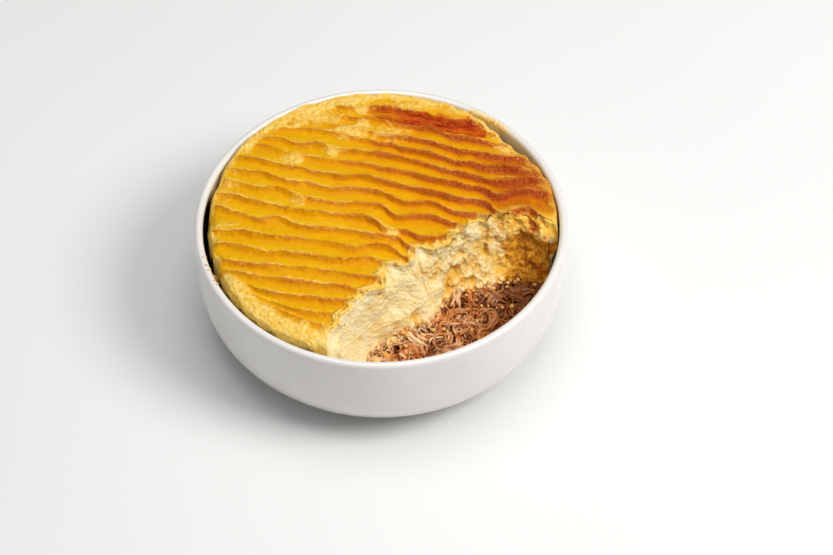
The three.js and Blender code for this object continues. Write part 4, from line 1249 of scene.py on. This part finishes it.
def blobs(centres, sizes, seed):
    """Small irregular lumps: grids of latitude and longitude, their radius varied by a quarter."""
    random = np.random.default_rng(seed)
    count, rings, turns = len(centres), 5, 8
    lat = np.linspace(0, np.pi, rings + 2)[1:-1]
    lon = np.linspace(0, 2 * np.pi, turns, endpoint=False)
    unit = np.stack([np.outer(np.sin(lat), np.cos(lon)), np.outer(np.sin(lat), np.sin(lon)),
                     np.outer(np.cos(lat), np.ones(turns))], axis=-1).reshape(-1, 3)
    unit = np.vstack([unit, [[0, 0, 1], [0, 0, -1]]])
    radius = sizes[:, None] * (1 + 0.25 * random.standard_normal((count, len(unit))))
    stretch = random.uniform(0.6, 1.3, (count, 1, 3))
    points = centres[:, None] + unit * radius[..., None] * stretch
    tone = np.repeat(random.random(count), len(unit))
    return points.reshape(-1, 3), many_tubes(rings, turns, count), tone


def crumbs():
    """Crumbs of mash along the hollow's edge, down the face's foot, on the bare meat, on the crust's
    right border, where they are golden, and on the rim."""
    random = np.random.default_rng(71)
    along = random.uniform(0.1, 0.93, ON_EDGE)
    edge, inwards = hollow_wall(along, np.full(ON_EDGE, EDGE_LEVEL))
    edge = edge + inwards * random.normal(0.2, 1.6, (ON_EDGE, 1))
    level, _ = crust_surface(edge[:, 0], edge[:, 1])
    on_edge = np.column_stack([edge, level + random.uniform(-0.5, 0.1, ON_EDGE)])
    along = random.uniform(0.12, 0.9, AT_FOOT)
    foot, inwards = hollow_wall(along, np.full(AT_FOOT, MEAT_TOP + 1.5))
    foot = foot + inwards * (1.5 + np.abs(random.normal(0, 3.2, (AT_FOOT, 1))))
    at_foot = np.column_stack([foot, resting_height(*foot.T) + random.uniform(0.4, 2.4, AT_FOOT)])
    loose = bare_place(random.random(ON_MEAT), random.random(ON_MEAT) ** 1.3)
    on_meat = np.column_stack([loose, resting_height(*loose.T) + random.uniform(1.2, 2.6, ON_MEAT)])
    bearing = np.radians(np.concatenate([random.normal(*place) for place in ON_RIM]))
    radius = random.uniform(71.2, 73.2, len(bearing))
    on_rim = np.column_stack([*polar(radius, bearing),
                              BOWL_HEIGHT - 0.5 * ((radius - LIP_CROWN) / 1.7) ** 2 + 0.1])
    bearing_in = np.radians(random.uniform(2, 58, ON_BORDER))
    x, y = polar(random.uniform(64, 68.6, ON_BORDER), bearing_in)
    on_border = np.column_stack([x, y, crust_surface(x, y)[0] + 0.1])
    centres = np.vstack([on_edge, at_foot, on_meat, on_border, on_rim])
    sizes = np.concatenate([
        random.uniform(0.25, 0.7, ON_EDGE), 0.35 + 1.1 * random.random(AT_FOOT) ** 2,
        random.uniform(0.25, 0.8, ON_MEAT), random.uniform(0.15, 0.4, ON_BORDER),
        random.uniform(0.15, 0.45, len(bearing))])
    centres[:-len(bearing)] = keep_in_bowl(centres[:-len(bearing)], clearance=1.2)
    points, faces, tone = blobs(centres, sizes, seed=72)
    radius = np.hypot(points[:, 0], points[:, 1])
    golden = (radius > 60) & (radius < 70) & (points[:, 2] > MEAT_TOP + 12)
    tone = np.where(golden, tone - 0.5, tone)
    return piece("mash_crumbs", points, faces, cream_crumb(), (), {"tone": tone})


# ---- Stage, light and camera ---------------------------------------------------------------

CAMERA_AIM = Vector((14.147, -8.363, 25.0)) * MM
CAMERA_DISTANCE = 1.08063  # in metres
CAMERA_ELEVATION = np.radians(49.39)
CAMERA_LENS = 115.1  # focal length and sensor width in mm
SENSOR_WIDTH = 36
FLOOR_REACH = 6  # metres to each side
LAMPS = [  # name, place and diameter in metres, power in watts and colour
    ("sky_light", (0, 0.2, 1.6), 2.4, 5.8, (1, 1, 1)),
    ("top_light", (0, 0.05, 1.3), 0.9, 5.6, (1.0, 0.985, 0.96)),
    ("key_light", (0.76, -0.25, 0.95), 0.6, 10.0, (1.0, 0.985, 0.96)),
]
LAMP_AIM = (0, 0, 0.03)
SURROUND_STRENGTH = 0.2


def stage():
    """A pale floor, wide enough to fill every view."""
    mesh = bpy.data.meshes.new("floor")
    corners = [(-1, -1), (1, -1), (1, 1), (-1, 1)]
    mesh.from_pydata([(x * FLOOR_REACH, y * FLOOR_REACH, 0) for x, y in corners], [], [(0, 1, 2, 3)])
    floor = bpy.data.objects.new("floor", mesh)
    bpy.context.collection.objects.link(floor)
    f = Finish("pale_floor", Roughness=0.9)
    colour = f.mottle(400, (232, 232, 232), (236, 236, 236), 0.3, 0.7)
    mesh.materials.append(f.finish(Base_Color=colour))


def studio():
    """A large soft light from above and behind, a smaller one from above, one from the right and in
    front, and a pale surround."""
    for name, place, size, power, colour in LAMPS:
        light = bpy.data.lights.new(name, "AREA")
        light.shape = "DISK"
        light.size = size
        light.energy = power
        light.color = colour
        thing = bpy.data.objects.new(name, light)
        thing.location = place
        thing.rotation_euler = (Vector(LAMP_AIM) - Vector(place)).to_track_quat("-Z", "Y").to_euler()
        bpy.context.collection.objects.link(thing)
    world = bpy.data.worlds.new("surround")
    world.use_nodes = True
    background = world.node_tree.nodes["Background"]
    background.inputs["Color"].default_value = (1, 1, 1, 1)
    background.inputs["Strength"].default_value = SURROUND_STRENGTH
    bpy.context.scene.world = world
    bpy.context.scene.view_settings.view_transform = "Standard"


def camera():
    """A long lens from the front and above, aimed at a point inside the bowl."""
    eye = bpy.data.cameras.new("camera")
    eye.sensor_width = SENSOR_WIDTH
    eye.lens = CAMERA_LENS
    thing = bpy.data.objects.new("camera", eye)
    back = Vector((0, -np.cos(CAMERA_ELEVATION), np.sin(CAMERA_ELEVATION)))
    thing.location = CAMERA_AIM + back * CAMERA_DISTANCE
    thing.rotation_euler = (-back).to_track_quat("-Z", "Y").to_euler()
    bpy.context.collection.objects.link(thing)
    bpy.context.scene.camera = thing


camera()
studio()
stage()
bowl()
crust()
face()
bed()
shreds()
crumbs()
